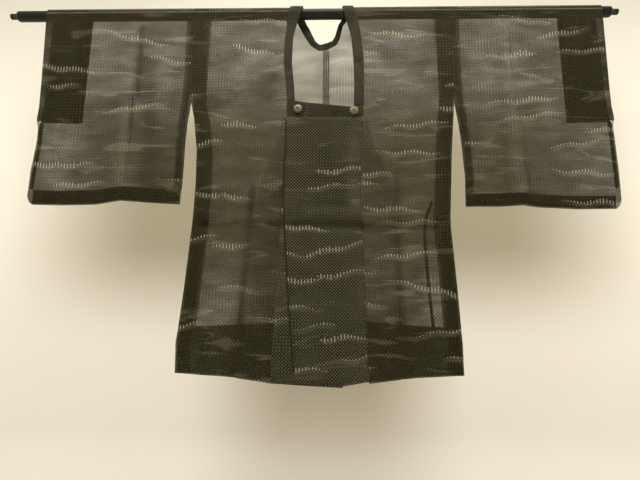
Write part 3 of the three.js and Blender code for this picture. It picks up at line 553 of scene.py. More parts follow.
# How far folds and ripples draw the cloth in, where toneDepth counts as 1: painted shade in the
# troughs, and painted light on the ridges.
def pressed(face, x, drop):
    face, x, drop = np.broadcast_arrays(face, x, drop)
    paintedShade = np.zeros(x.shape)
    for name in np.unique(face):
        here = face == name
        drawnIn = -drape(faces[name][2], x[here], np.maximum(drop[here], 0))
        paintedShade[here] = drawnIn / cloth["toneDepth"]
    return np.where(paintedShade < 0, cloth["ridgeTone"] * paintedShade, paintedShade)


# A smooth mesh over a grid of points. A closed grid joins its last column to its first.
def addMesh(name, points, spots, material, closed=False, paintedShade=None):
    rows, columns = points.shape[:2]
    numbers = np.arange(rows * columns).reshape(rows, columns)
    if closed:
        numbers = np.hstack([numbers, numbers[:, :1]])
    corners = [(slice(0, -1), slice(0, -1)), (slice(1, None), slice(0, -1)),
               (slice(1, None), slice(1, None)), (slice(0, -1), slice(1, None))]
    quads = np.stack([numbers[c] for c in corners], axis=-1).reshape(-1, 4)
    spotLoops = np.stack([spots[c] for c in corners], axis=-2).reshape(-1, 2)
    mesh = bpy.data.meshes.new(name)
    mesh.from_pydata(points.reshape(-1, 3).tolist(), [], quads.tolist())
    mesh.uv_layers.new(name="flatCloth").data.foreach_set("uv", spotLoops.ravel())
    mesh.polygons.foreach_set("use_smooth", [True] * len(mesh.polygons))
    mesh.materials.append(material)
    # the painted shade and light of the folds, stored on the mesh for the gauze to read
    if paintedShade is not None:
        mesh.attributes.new("pressed", "FLOAT", "POINT").data.foreach_set("value", paintedShade.ravel())
    piece = bpy.data.objects.new(name, mesh)
    scene.collection.objects.link(piece)
    return piece


def settle(piece, slot, *nodes):
    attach(piece, "root")
    if nodes:
        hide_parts(*nodes)
    return piece


# Below the waist the rows lean over to the facing and the hem.
def hemward(drop, x):
    facing = np.interp(x, hemLine["x"], hemLine["facing"])
    hem = np.interp(x, hemLine["x"], hemLine["hem"])
    start, top, end = bodyCut["leanFrom"], bodyCut["facing"], bodyCut["hem"]
    upper = start + (facing - start) * (drop - start) / (top - start)
    lower = facing + (hem - facing) * (drop - top) / (end - top)
    return np.where(drop <= start, drop, np.where(drop <= top, upper, lower))


# The body's edge at the back neck, and the rows of cloth beside it and below it.
neckEdge = {
    "rightDrop": [0, 8, 24, 40, 55, 69, 82], "rightX": [-60, -56, -46.5, -37, -28.5, -20, -5],
    "leftDrop": [0, 7, 20, 37, 54, 69, 80.5], "leftX": [66, 60, 47, 44, 40, 33, 12],
    "rows": 22, "rowsTo": 84, "belowFrom": 90,
}


# Rows of the body from the front hem over the rod to the back hem, or between two drops.
def bodyRows(side, frontFrom, backTo):
    step, neckDrop, neckX = bodyCut["rowStep"], neckEdge[side + "Drop"], neckEdge[side + "X"]
    rows = []
    for drop in np.linspace(frontFrom, 0, int(frontFrom / step) + 1):
        rows.append((fronts[side], drop, np.interp(drop, frontEdge["drop"], frontEdge[side])))
    frontX = np.interp(0, frontEdge["drop"], frontEdge[side])
    for turn in turnsOverRod:
        share = turn / math.pi
        drop = -cloth["fold"] * min(turn, math.pi - turn)
        name = fronts[side] if share < 0.5 else "back"
        rows.append((name, drop, frontX + (neckX[0] - frontX) * share))
    for drop in np.concatenate([np.linspace(0, neckEdge["rowsTo"], neckEdge["rows"]),
                                np.arange(neckEdge["belowFrom"], backTo, step), [backTo]]):
        edge = np.interp(drop, neckDrop, neckX) if drop <= neckDrop[-1] else bodyCut["centreBack"]
        rows.append(("back", drop, edge))
    face, drop, edge = (np.array([row[i] for row in rows])[:, None] for i in range(3))
    seam = np.interp(np.maximum(drop, 0), bodyCut["drop"], bodyCut[side])
    return face, drop, seam, edge


# Turned-in cloth: round the fold in five steps, then inwards in eight. Each point has how far in
# it lies, its share of the rest of the way in, and how far under the outer cloth it lies.
def makeTurnIn(radius, early, steps):
    return {
        "radius": radius,
        "in": np.array([radius, early, 0, early, radius] + [radius] * steps),
        "share": np.concatenate([np.zeros(5), np.arange(1, steps + 1) / steps]),
        "level": -np.array([0, early, radius, 2 * radius - early] + [2 * radius] * (steps + 1)),
    }


turnIn = makeTurnIn(radius=0.75, early=0.22, steps=8)
# The cloth turned back beside the front band. It was cut away to a narrow strip at the neck.
frontTurning = {
    "drop": [-24, 0, 264, 460, 700, 860],
    "right": [-120, -122, -126, -139, -173, -180],
    "left": [130, 132, 152, 163, 171, 176],
    "from": 264, "rows": 64, "neckShare": 0.2, "widensFrom": 262, "widensOver": 190,
}


def foldIn(width):
    return turnIn["in"] + turnIn["share"] * (width - turnIn["radius"])


def addBody(side):
    sign, start = sides[side], bodyCut["start"][side]
    levels = turnIn["level"]
    hemDrop, facingDrop = bodyCut["hem"], bodyCut["facing"]
    face, nominal, seam, edge = bodyRows(side, hemDrop, hemDrop)
    fold = seam - sign * turnIn["radius"]
    x = fold + (edge - fold) * np.linspace(0, 1, bodyCut["columns"])[None, :]
    drop = hemward(nominal, x)
    body = addMesh(side + "Body", place(face, x, drop), flat(face, x, drop, start), gauze,
                   paintedShade=pressed(face, x, drop))
    settle(body, "gauze", "body_" + side)

    # the allowance turned in at the side, over the shoulder from facing to facing
    face, nominal, seam, edge = bodyRows(side, facingDrop, facingDrop)
    x = seam - sign * foldIn(bodyCut["sideAllowance"])[None, :]
    drop = hemward(nominal, x)
    allowance = addMesh(side + "SideAllowance", place(face, x, drop, levels[None, :]),
                        flat(face, 2 * seam - x, drop, start), gauzeTurnedShaded)
    settle(allowance, "gauze_turned_in", "side_allowance_" + side)

    # the facings turned up inside the hem
    facings = []
    along = np.linspace(0, 1, bodyCut["facingColumns"])[None, :]
    rise = turnIn["share"][:, None]
    for where, name in (("Front", fronts[side]), ("Back", "back")):
        x = 0
        for level, share in ((hemDrop, 1 - rise), (facingDrop, rise)):
            seam = np.interp(level, bodyCut["drop"], bodyCut[side])
            end = bodyCut["centreBack"]
            if where == "Front":
                end = np.interp(level, frontEdge["drop"], frontEdge[side])
            x = x + (seam + (end - seam) * along) * share
        hem = np.interp(x, hemLine["x"], hemLine["hem"])
        facing = np.interp(x, hemLine["x"], hemLine["facing"])
        drop = hem - foldIn((hem - facing).T).T
        facings.append(addMesh(side + where + "Facing", place(name, x, drop, levels[:, None]),
                               flat(name, x, 2 * hem - drop, start), gauzeTurnedShaded))
        settle(facings[-1], "gauze_turned_in", f"hem_facing_{where.lower()}_{side}")

    drop = np.linspace(frontTurning["from"], facingDrop, frontTurning["rows"])[:, None]
    edge = np.interp(drop, frontEdge["drop"], frontEdge[side])
    width = np.abs(np.interp(drop, frontTurning["drop"], frontTurning[side]) - edge)
    widened = ease((drop - frontTurning["widensFrom"]) / frontTurning["widensOver"])
    width = width * (frontTurning["neckShare"] + (1 - frontTurning["neckShare"]) * widened)
    x = edge + sign * foldIn(width)
    drop = hemward(drop, x)
    turning = addMesh(side + "FrontTurning", place(fronts[side], x, drop, levels[None, :]),
                      flat(fronts[side], x, drop, start), gauzeAligned)
    settle(turning, "gauze_turned_in", "front_allowance_" + side)


# The centre back seam's allowance, opened to both sides.
backSeam = {"from": 86, "rows": 90, "columns": 9, "reach": 8, "start": (2.2, 0.1)}


def addCentreBack():
    nominal = np.linspace(backSeam["from"], bodyCut["facing"], backSeam["rows"])[:, None]
    across = np.linspace(-1, 1, backSeam["columns"])[None, :] * backSeam["reach"]
    x = bodyCut["centreBack"] + across
    drop = hemward(nominal, x)
    allowance = addMesh("centreBackAllowance", place("back", x, drop, cloth["inside"]),
                        flat("back", x, drop, backSeam["start"]), gauzeBunched)
    settle(allowance, "gauze_turned_in", "centre_back_allowance")


addBody("right")
addBody("left")
addCentreBack()

# A strip folded double has a flat middle, tight round edges and nearly closed ends.
stripFold = {"flatPower": 0.4, "edgePower": 0.5, "endPly": 0.02}


# The strip goes out along one side, round its edge and back inside. first and second are its two
# long edges, as rows of x and drop.
def addStrip(name, face, first, second, ply, material, outward=0.0, columns=22, start=(0, 0)):
    face = np.array(face)
    turn = np.linspace(0, 2 * math.pi, 2 * columns + 1)
    bow = np.sign(np.cos(turn)) * np.abs(np.cos(turn)) ** stripFold["flatPower"]
    across = 0.5 - 0.5 * bow
    puff = np.sign(np.sin(turn)) * np.abs(np.sin(turn)) ** stripFold["edgePower"]
    shut = np.ones(len(first))
    shut[[0, -1]] = stripFold["endPly"]
    share = across[None, :, None]
    spread = (1 - share) * first[:, None, :] + share * second[:, None, :]
    raised = puff[None, :] * ply * shut[:, None] + np.reshape(outward, (-1, 1))
    if face.ndim == 0:
        face = np.repeat(face, len(first))
    points = place(face[:, None], spread[..., 0], spread[..., 1], raised)
    middle = points[:, 0]
    run = np.concatenate([[0], np.cumsum(np.linalg.norm(np.diff(middle, axis=0), axis=1))])
    width = np.linalg.norm(second - first, axis=1)[:, None] / 1000
    aroundShare = np.concatenate([across[:columns + 1], 2 - across[columns + 1:]])
    around = width * (aroundShare[None, :] - 0.5)
    down = np.broadcast_to(run[:, None], around.shape)
    spots = np.stack([around + start[0], down + start[1]], axis=-1)
    paintedShade = pressed(face[:, None], spread[..., 0], spread[..., 1])
    return addMesh(name, points[:, :-1], spots, material, closed=True, paintedShade=paintedShade[:, :-1])


def atDrop(cut, name, drop):
    x = np.interp(drop, cut["drop"], cut[name])
    return np.stack([x, hemward(drop, x)], axis=-1)


# The front bands, and the level collar band across the top of each.
bandCut = {
    "drop": [226, 264, 460, 650, 860],
    "underSeam": [-77, -78, -84.5, -94, -102],
    "underFree": [66, 64, 58, 53, 48],
    "overFree": [-76.6, -77.6, -82, -70, -51],
    "overSeam": [98, 95, 89, 96, 102],
    "ply": 0.8, "columns": 30, "shortFrom": 800, "flat": (0.33, 0.6), "area": 0.185,
    # the over band is sewn up this much shorter at the hem
    "short": {"under": 0, "over": 3}, "start": {"under": (0.3, 3.1), "over": (0.9, 4.2)},
    # rows of cloth: two close ones at each end, where the strip closes
    "rows": np.concatenate([[264, 264.6], np.arange(272, 852, 7), [858.8, 860]]),
}
levelCut = {
    "seamDrop": 240, "foot": 264.6, "columns": 14,
    "start": {"under": (0.2, 5.3), "over": (0.6, 6.4)},
    "along": np.concatenate([[0, 0.004], np.linspace(0.03, 0.97, 34), [0.996, 1]]),
}
neckLine = {"drop": 226, "fall": 14, "from": -58, "over": 122}  # it falls to the wearer's left


def addFrontBand(side):
    rows = bandCut["rows"]
    edges = [atDrop(bandCut, side + end, rows) for end in ("Seam", "Free")]
    shortened = ease((rows - bandCut["shortFrom"]) / (bodyCut["hem"] - bandCut["shortFrom"]))
    for edge in edges:
        edge[:, 1] -= bandCut["short"][side] * shortened
    band = addStrip(side + "FrontBand", side, *edges, bandCut["ply"], gauzeDoubledLit,
                    start=bandCut["start"][side], columns=bandCut["columns"])
    settle(band, "gauze", "front_band_" + side)


def addLevelBand(side):
    ends = [np.interp(levelCut["seamDrop"], bandCut["drop"], bandCut[side + end])
            for end in ("Seam", "Free")]
    x = ends[0] + (ends[1] - ends[0]) * levelCut["along"]
    across = np.clip((x - neckLine["from"]) / neckLine["over"], 0, 1)
    first = np.stack([x, neckLine["drop"] + neckLine["fall"] * across], axis=-1)
    second = np.stack([x, 0 * x + levelCut["foot"]], axis=-1)
    band = addStrip(side + "CollarBand", side, first, second, bandCut["ply"], gauzeCollar,
                    start=levelCut["start"][side], columns=levelCut["columns"])
    return settle(band, "gauze_doubled", "collar_band_" + side)


addFrontBand("under")
addFrontBand("over")
levelBands = [addLevelBand("under"), addLevelBand("over")]

# The collar's inner edge down the fronts. It stands off the body, and less so at the shoulder.
collarCut = {
    "drop": [-24, 0, 30, 70, 131, 190, 226],
    "right": [-41, -45, -55, -65, -67, -61, -59],
    "left": [47, 52, 60, 70, 75, 76, 75],
    "rightRows": [225.6, 225, *np.linspace(219, 0, 38)],
    "leftRows": [*np.linspace(0, 232, 40), 239, 239.6],
    "ply": 0.85, "columns": 9, "stand": 2.6, "standOver": 45, "backFrom": 0.006,
    "start": (0.1, 7.5), "flat": (0.021, 0.75),
}
# The back neck from the wearer's right shoulder round to the left. It droops behind the rod.
backNeck = {
    "outerX": [-60, -59, -52, -44, -35, -25, -6, 13, 36, 44, 48, 52, 61, 66],
    "outerDrop": [0, 8, 24, 41, 57, 72, 86, 84.5, 72, 56, 38, 20, 7, 0],
    "innerX": [-41, -38.5, -33, -27, -20, -13, -3, 9, 26, 33, 37, 41, 47, 48],
    "innerDrop": [0, 8, 20, 32, 48, 62, 70, 67, 61, 48, 33, 17, 7, 0],
    "rows": 66,
}


# The collar runs up the right front, over the rod, round the back neck and down the left front.
def addCollar():
    face, outer, inner = [], [], []

    def addPoint(name, outerX, outerDrop, innerX, innerDrop):
        face.append(name)
        outer.append((outerX, outerDrop))
        inner.append((innerX, innerDrop))

    def goOver(side, turns):
        tables = ((frontEdge, backNeck["outerX"]), (collarCut, backNeck["innerX"]))
        for turn in turns:
            share = turn / math.pi
            x = []
            for cut, neck in tables:
                begin = np.interp(0, cut["drop"], cut[side])
                end = neck[0] if side == "right" else neck[-1]
                x.append(begin + (end - begin) * share)
            drop = -cloth["fold"] * min(turn, math.pi - turn)
            addPoint("back" if share > 0.5 else fronts[side], x[0], drop, x[1], drop)

    def goFront(side, drops):
        for drop in drops:
            x = [np.interp(drop, cut["drop"], cut[side]) for cut in (frontEdge, collarCut)]
            addPoint(fronts[side], x[0], drop, x[1], drop)

    goFront("right", collarCut["rightRows"])
    goOver("right", turnsOverRod)
    knots = np.arange(len(backNeck["outerX"]))
    for knot in np.linspace(0, knots[-1], backNeck["rows"]):
        addPoint("back", *(np.interp(knot, knots, backNeck[name])
                           for name in ("outerX", "outerDrop", "innerX", "innerDrop")))
    goOver("left", turnsOverRod[::-1])
    goFront("left", collarCut["leftRows"])
    outer, inner = np.array(outer), np.array(inner)
    lowered = ease(np.maximum(outer[:, 1], 0) / collarCut["standOver"])
    strip = addStrip("collarStrip", face, outer, inner, collarCut["ply"], gauzeCollar,
                     outward=collarCut["stand"] * (1 - lowered), columns=collarCut["columns"],
                     start=collarCut["start"])
    # the back faces take the darker copy: more layers, and painted shade inside the neck
    strip.data.materials.append(gauzeNeckShaded)  # more layers lie behind the neck
    for polygon in strip.data.polygons:
        polygon.material_index = int(polygon.center.y > collarCut["backFrom"])
    settle(strip, "gauze_doubled", "collar")


addCollar()
print("body, bands and collar made")

# A gusset hangs inside between the side seams, folded once inwards, and widens to the hem. It is
# sewn on under the body's inside, and each layer hangs foldGap from the middle at its fold.
gussetCut = {
    "top": 240, "rowsTo": 856, "rowStep": 7.5, "columns": 15, "topWidth": 12, "spread": 20,
    "under": -2.7, "foldGap": 0.95, "foldPower": 8, "start": {"right": 1.9, "left": 0.7},
    "flat": (0.07, 0.6), "area": 0.03,
}


def addGusset(side):
    top, hem = gussetCut["top"], bodyCut["hem"]
    nominal = np.arange(top, gussetCut["rowsTo"], gussetCut["rowStep"])
    nominal = np.concatenate([nominal, [hem]])[:, None]
    seam = np.interp(nominal, bodyCut["drop"], bodyCut[side])
    drop = hemward(nominal, seam)
    width = gussetCut["topWidth"] + gussetCut["spread"] * (drop - top) / (hem - top)
    share = np.linspace(0, 1, gussetCut["columns"])[None, :]
    front, back = (np.abs(place(face, seam, drop, gussetCut["under"])[..., 1]) * 1000
                   for face in (fronts[side], "back"))
    gap = gussetCut["foldGap"] * np.sqrt(np.clip(1 - share ** gussetCut["foldPower"], 0, 1))
    x = seam - sides[side] * width * share
    yFront = -(front * (1 - share) + gap)
    yBack = back * (1 - share) + gap
    x = np.concatenate([x, x[:, -2::-1]], axis=1)
    y = np.concatenate([yFront, yBack[:, -2::-1]], axis=1)
    z = np.broadcast_to(-drop, x.shape)
    points = np.stack([x, y, z], axis=-1) / 1000
    across = np.concatenate([width * share, width * (2 - share[:, -2::-1])], axis=1)
    spots = np.stack([across, np.broadcast_to(drop, across.shape)], axis=-1) / 1000
    gusset = addMesh(side + "Gusset", points, spots + gussetCut["start"][side], gauze)
    settle(gusset, "gauze", "gusset_" + side)


addGusset("right")
addGusset("left")

# Where columns and rows lie, closer where the cloth curves in to its seams: shares of the way
# across and down, and drops for the edge seam.
sleeveGrid = {
    "across": np.concatenate([np.linspace(0, 0.96, 62), [0.966, 0.975, 0.984, 0.992, 0.997, 1]]),
    "down": np.concatenate([np.linspace(0, 0.985, 66), [0.992, 0.9965, 0.9985, 1]]),
    "bottomSeam": np.concatenate([[0.002, 0.005], np.linspace(0.02, 0.955, 40), [0.962, 0.965]]),
    "edgeSeam": np.concatenate([[274, 275], np.linspace(282, 425, 18), [428, 429]]),
}
# The edge of the cuff facing, turned under: its shares of the way back out, and its levels.
turnedUnder = {"share": np.array([[0, 0.02, 0.35, 0.7, 1]]),
               "level": [-1.7, -2.0, -2.1, -2.1, -2.1]}


# A sleeve is one cloth folded over the rod, open at the cuff and down its inner edge.
def addSleeve(side):
    sign, start, deepest = sides[side], sleeveCut["start"][side], sleeveCut["deepest"]

    def edgeAt(name, drop):
        return np.interp(np.clip(drop, 0, deepest), sleeveCut["drop"], sleeveCut[side + name])

    def lineUp(downs, face, across):  # x and drop for rows at shares of the way down
        nominal = (downs * deepest)[:, None]
        inner, outer = edgeAt("Inner", nominal), edgeAt("Outer", nominal)
        x = inner + (outer - inner) * across
        return np.full(len(downs), face), x, downs[:, None] * sleeveBottom(x)

    def overRod(across):
        turns = turnsOverRod
        inner, outer = edgeAt("Inner", 0), edgeAt("Outer", 0)
        x = np.broadcast_to(inner + (outer - inner) * across, (len(turns), across.shape[-1]))
        drop = -cloth["fold"] * np.minimum(turns, math.pi - turns)[:, None]
        return np.where(turns < math.pi / 2, "sleeveFront", "sleeveBack"), x, drop + 0 * x

    def joinUp(downs, across):
        parts = [lineUp(downs[::-1], "sleeveFront", across), overRod(across),
                 lineUp(downs, "sleeveBack", across)]
        face, x, drop = (np.concatenate([part[i] for part in parts]) for i in range(3))
        return face[:, None], x, drop

    face, x, drop = joinUp(sleeveGrid["down"], sleeveGrid["across"][None, :])
    # the last rows and columns draw together where front and back are sewn
    under = ease((drop - sleeveCut["cuffDrop"]) / sleeveHang["sewnOver"])
    nearBottom, nearEdge = (
        np.sqrt(np.clip(way / sleeveHang["sewnWithin"], 0, 1))
        for way in (sleeveBottom(x) - drop, np.abs(edgeAt("Outer", drop) - x)))
    points = place(face, x, drop)
    points[..., 1] *= nearBottom * (1 - under * (1 - nearEdge))
    sleeve = addMesh(side + "Sleeve", points, flat(face, x, drop, start), gauze,
                     paintedShade=pressed(face, x, drop))
    settle(sleeve, "gauze", "sleeve_" + side)

    # allowance down the inner edge
    hemShare = 1 - sleeveCut[side + "Hem"] / deepest
    inward = foldIn(sleeveCut["allowance"]) / sleeveCut["width"]
    face, x, drop = joinUp(np.linspace(0, hemShare, sleeveCut["allowanceRows"]), inward[None, :])
    allowance = addMesh(side + "SleeveAllowance", place(face, x, drop, turnIn["level"][None, :]),
                        flat(face, x, drop, (start[0] + 0.4, start[1])), gauzeTurnedShaded)
    settle(allowance, "gauze_turned_in", "sleeve_inner_allowance_" + side)

    # facing inside the cuff
    downs = np.linspace(0, sleeveCut["cuffDrop"] / deepest, sleeveCut["facingRows"])
    face, x, drop = joinUp(downs, np.zeros((1, len(turnIn["in"]))))
    outer = edgeAt("Outer", drop)
    width = np.abs(outer - sleeveCut[side + "Facing"])
    under = width[:, -1:] - sleeveCut["turnUnder"] * turnedUnder["share"]
    x = np.hstack([outer - sign * foldIn(width), outer[:, -1:] - sign * under])
    levels = np.concatenate([turnIn["level"], turnedUnder["level"]])[None, :]
    outer, drop = (np.hstack([grid, grid[:, :len(turnedUnder["level"])]]) for grid in (outer, drop))
    facing = addMesh(side + "CuffFacing", place(face, x, drop, levels),
                     flat(face, 2 * outer - x, drop, start), gauzeHemmed)
    settle(facing, "gauze_turned_in", "cuff_facing_" + side)

    # seams folded double between the front and back
    inner, outer = edgeAt("Inner", deepest), edgeAt("Outer", deepest)
    x = inner + (outer - inner) * sleeveGrid["bottomSeam"]
    hem = sleeveBottom(sign * np.minimum(np.abs(x), sleeveCut["roundCornerFrom"]))
    first = np.stack([x, sleeveBottom(x) - sleeveCut["seamInset"]], axis=-1)
    second = np.stack([x, hem - sleeveCut[side + "Hem"]], axis=-1)
    bottomSeam = addStrip(side + "SleeveBottomSeam", "seamed", first, second,
                          sleeveCut["seamPly"], gauzeHemmed, columns=12, start=(0.5, 8.2))
    settle(bottomSeam, "gauze_turned_in", "sleeve_bottom_seam_" + side)
    drop = sleeveGrid["edgeSeam"]
    first, second = (np.stack([edgeAt("Outer", drop) - sign * inset, drop], axis=-1)
                     for inset in (sleeveCut["seamInset"], sleeveCut["edgeSeam"] - 0.2))
    edgeSeam = addStrip(side + "SleeveEdgeSeam", "seamed", first, second,
                        sleeveCut["seamPly"], gauzeHemmed, columns=6, start=(0.5, 9.6))
    settle(edgeSeam, "gauze_turned_in", "sleeve_edge_seam_" + side)


addSleeve("right")
addSleeve("left")
print("gussets and sleeves made")

# A narrow woven tape hangs inside the left front.
tape = {
    "drop": [460, 495, 535, 610, 690, 727], "x": [245, 231, 226, 228, 234, 237], "width": 7,
    "rows": np.concatenate([[460, 460.8], np.linspace(466, 722, 44), [726.2, 727]]),
    "ply": 0.3, "columns": 6, "start": (0.4, 10.4),
}


def addTape():
    middle = np.interp(tape["rows"], tape["drop"], tape["x"])
    drop = hemward(tape["rows"], middle)
    edges = [np.stack([middle + way * tape["width"] / 2, drop], axis=-1) for way in (-1, 1)]
    strip = addStrip("insideTape", "over", *edges, tape["ply"], gauzeCollar,
                     outward=cloth["inside"], columns=tape["columns"], start=tape["start"])
    settle(strip, "gauze_doubled", "inner_tape")


addTape()

# Sewing, as short raised dashes along lines on the cloth. Each has sides round its middle, and
# rings at shares of its length with shares of its radius.
sewing = {
    "length": 4.4, "gap": 3.2, "edgeShadeGap": 0.4, "fine": 0.5, "edgeShadeRadius": 1.7, "flatness": 0.7,
    "sides": 6, "rings": ((0, 0.3), (0.18, 1), (0.82, 1), (1, 0.3)), "samples": 400,
    "rows": np.arange(272, 846, 12.0),
}
# Each line's face, its edge of the band, how far beyond the edge and above the face it runs, its
# radius and the gap between its dashes. The first line's are thick and close: partly the free
# edge's stitching and partly painted shade, a dark line for the shadow in the gap under the band's
# free edge.
seams = [
    ("over", "overFree", 0.6, 0.6, sewing["edgeShadeRadius"], sewing["edgeShadeGap"]),
    ("over", "overSeam", -1.6, 1.0, sewing["fine"], sewing["gap"]),
    ("under", "underSeam", -2.2, 0.3, sewing["fine"], sewing["gap"]),
]


# One dash from begin to end, with out as the way up from the cloth.
def addDash(points, quads, begin, end, out, radius):
    sideCount, rings = sewing["sides"], sewing["rings"]
    out = out / np.linalg.norm(out)
    ahead = (end - begin) / np.linalg.norm(end - begin)
    side = np.cross(ahead, out)
    first = len(points)
    for share, size in rings:
        centre = begin + (end - begin) * share
        for k in range(sideCount):
            angle = 2 * math.pi * k / sideCount
            ray = math.cos(angle) * side + math.sin(angle) * out * sewing["flatness"]
            points.append((centre + ray * radius * size) / 1000)
    for ring in range(len(rings) - 1):
        for k in range(sideCount):
            a, b = (first + ring * sideCount + number % sideCount for number in (k, k + 1))
            quads.append((a, b, b + sideCount, a + sideCount))
    last = first + (len(rings) - 1) * sideCount
    quads.append(tuple(first + k for k in reversed(range(sideCount))))
    quads.append(tuple(last + k for k in range(sideCount)))


def addStitches(name, lines):
    points, quads = [], []
    for face, edge, beyond, above, radius, gap in lines:
        spots = atDrop(bandCut, edge, sewing["rows"]) + (beyond, 0)
        knots = np.arange(len(spots))
        fine = np.linspace(0, knots[-1], sewing["samples"])
        x, drop = (np.interp(fine, knots, spots[:, i]) for i in range(2))
        path = place(face, x, drop, above) * 1000
        out = place(face, x, drop, above + 1) * 1000 - path
        run = np.concatenate([[0], np.cumsum(np.linalg.norm(np.diff(path, axis=0), axis=1))])
        pitch = sewing["length"] + gap
        for start in np.arange(pitch / 2, run[-1] - pitch, pitch):
            begin, end, lift = (
                np.array([np.interp(at, run, table[:, i]) for i in range(3)])
                for at, table in ((start, path), (start + sewing["length"], path), (start, out)))
            addDash(points, quads, begin, end, lift, radius)
    mesh = bpy.data.meshes.new(name)
    mesh.from_pydata([tuple(p) for p in points], [], quads)
    mesh.polygons.foreach_set("use_smooth", [True] * len(mesh.polygons))
    mesh.materials.append(thread)
    piece = bpy.data.objects.new(name, mesh)
    scene.collection.objects.link(piece)
    settle(piece, "gauze_doubled")


addStitches("bandStitching", seams)
print("tape and sewing made")

# Two snap buttons, stamped as a round flower with a raised rim. Petals stand on the dome round
# petalRing, and the grooves between them and a knob in the middle are pressed by relief.
button = {
    "places": {"right": (-52, 246), "left": (75, 251)}, "lean": 5, "clear": 0.35, "seatReach": 8,
    "radius": 10.4, "around": 120,
    # radius and height, up the back and over the rim
    "rim": [(0.01, 0), (8.5, 0), (10.0, 0.15), (10.4, 0.7), (10.4, 1.4), (10.1, 1.95),
            (9.5, 2.3), (8.9, 2.35), (8.5, 2.1), (8.2, 2.0)],
    "domeFrom": 8.0, "domeReach": 8.6, "domeFoot": 2.0, "domeHeight": 2.6, "domePower": 1.3,
    "rings": 30, "workedFrom": 2.05, "workedOver": 0.5,
    "petals": 7, "petalPower": 0.6, "petalRing": 5.6, "petalWidth": 2.3, "knob": 1.9,
    "relief": 1.4, "sunk": 0.7,
}


def addButton(side):
    x, drop = button["places"][side]
    reach = (-button["seatReach"], 0, button["seatReach"])
    around = np.array([(x + i, drop + j) for i in reach for j in reach], float)
    seat = bodyDepth("front", around[:, 0], around[:, 1]).max() + bandCut["ply"] + button["clear"]
    dome = np.linspace(button["domeFrom"], 0.05, button["rings"])
    arch = np.sqrt(np.clip(1 - (dome / button["domeReach"]) ** 2, 0, 1)) ** button["domePower"]
    dome = np.stack([dome, button["domeFoot"] + button["domeHeight"] * arch], axis=-1)
    profile = np.concatenate([button["rim"], dome])
    turn = np.linspace(0, 2 * math.pi, button["around"], endpoint=False)[None, :]
    radius, height = profile[:, :1] + 0 * turn, profile[:, 1:] + 0 * turn
    onDome = ease((height - button["workedFrom"]) / button["workedOver"])
    petal = np.abs(np.cos(turn * button["petals"] / 2)) ** button["petalPower"]
    ring = np.exp(-((radius - button["petalRing"]) / button["petalWidth"]) ** 4)
    knob = np.exp(-(radius / button["knob"]) ** 4)
    worked = np.clip(petal * ring + knob, 0, 1)
    lifted = height + onDome * (worked - button["sunk"]) * button["relief"]
    groove = np.where(onDome > 0.1, worked, 0.8)  # the rim is as worn as a petal's crown
    across, rise = radius * np.cos(turn), radius * np.sin(turn)
    lean = math.radians(button["lean"])  # its top leans back on the band
    out = lifted * math.cos(lean) + (button["radius"] - rise) * math.sin(lean)
    up = rise * math.cos(lean) + lifted * math.sin(lean)
    points = np.stack([x + across, -(seat + out), up - drop], axis=-1) / 1000
    spots = np.stack([radius / 10, groove], axis=-1)
    spots = np.concatenate([spots, spots[:, :1]], axis=1)
    piece = addMesh(side + "Button", points, spots, agedBronze, closed=True)
    settle(piece, "bronze", "button_" + side)


addButton("right")
addButton("left")

# The rod, turned down to a thinner stub at each end. shoulder is its rounded end's radius.
rod = {"radius": 12.5, "from": -729, "to": 680, "stub": 7, "stubFrom": -746, "stubTo": 696,
       "shoulder": 5, "shoulderRows": 9, "plainFrom": 12, "rows": 40, "around": 64}


def addRod():
    def endProfile(end, tip, way):  # radius and x, from the tip of the stub to the full tube
        stub, bend, neck = rod["stub"], rod["shoulder"], rod["radius"] - rod["shoulder"]
        stubEnd = [(stub * 0.02, tip), (stub - 1, tip), (stub - 0.3, tip - way * 0.3),
                   (stub, tip - way), (stub, end + way * 0.2), (stub + 0.6, end),
                   (stub + 1.2, end)]
        shoulder = [(neck + bend * math.sin(a), end - way * (bend - bend * math.cos(a)))
                    for a in np.linspace(0.15, math.pi / 2, rod["shoulderRows"])]
        return stubEnd + shoulder

    plain = np.linspace(rod["from"] + rod["plainFrom"], rod["to"] - rod["plainFrom"], rod["rows"])
    profile = endProfile(rod["from"], rod["stubFrom"], -1)
    profile += [(rod["radius"], x) for x in plain]
    profile += endProfile(rod["to"], rod["stubTo"], 1)[::-1]
    profile = np.array(profile)
    turn = np.linspace(0, 2 * math.pi, rod["around"], endpoint=False)[None, :]
    radius, along = profile[:, :1], profile[:, 1:] + 0 * turn
    points = np.stack([along, radius * np.cos(turn), radius * np.sin(turn)], axis=-1) / 1000
    spots = np.stack([along, radius * turn], axis=-1) / 1000
    spots = np.concatenate([spots, spots[:, :1]], axis=1)
    piece = addMesh("steelRod", points, spots, paintedSteel, closed=True)
    settle(piece, "steel_tube", "rod")


addRod()
print("buttons and rod made")

# A pale studio in metres: a painted wall that curves into the floor. The wall has a painted shadow
# where cloth close to it would shade it, in a wide patch behind the coat and a narrow one below.
# Each part of the painted shadow goes from none at the first distance to full at the second.
studio = {
    "wallAt": 2.42, "floorAt": -1.8, "wide": 6.0, "high": 3.4, "near": -4.5, "curve": 0.35,
    "paint": ("#e6e2d7", "#ebe8df"), "paintedShade": "#9f9783", "mottle": 1.3,
    "wideSide": (2.6, 1.25), "wideTop": (1.35, 0.55), "wideFoot": (-0.95, -0.1),
    "narrowSide": (1.05, 0.2), "narrowFoot": (-2.3, -0.9),
}


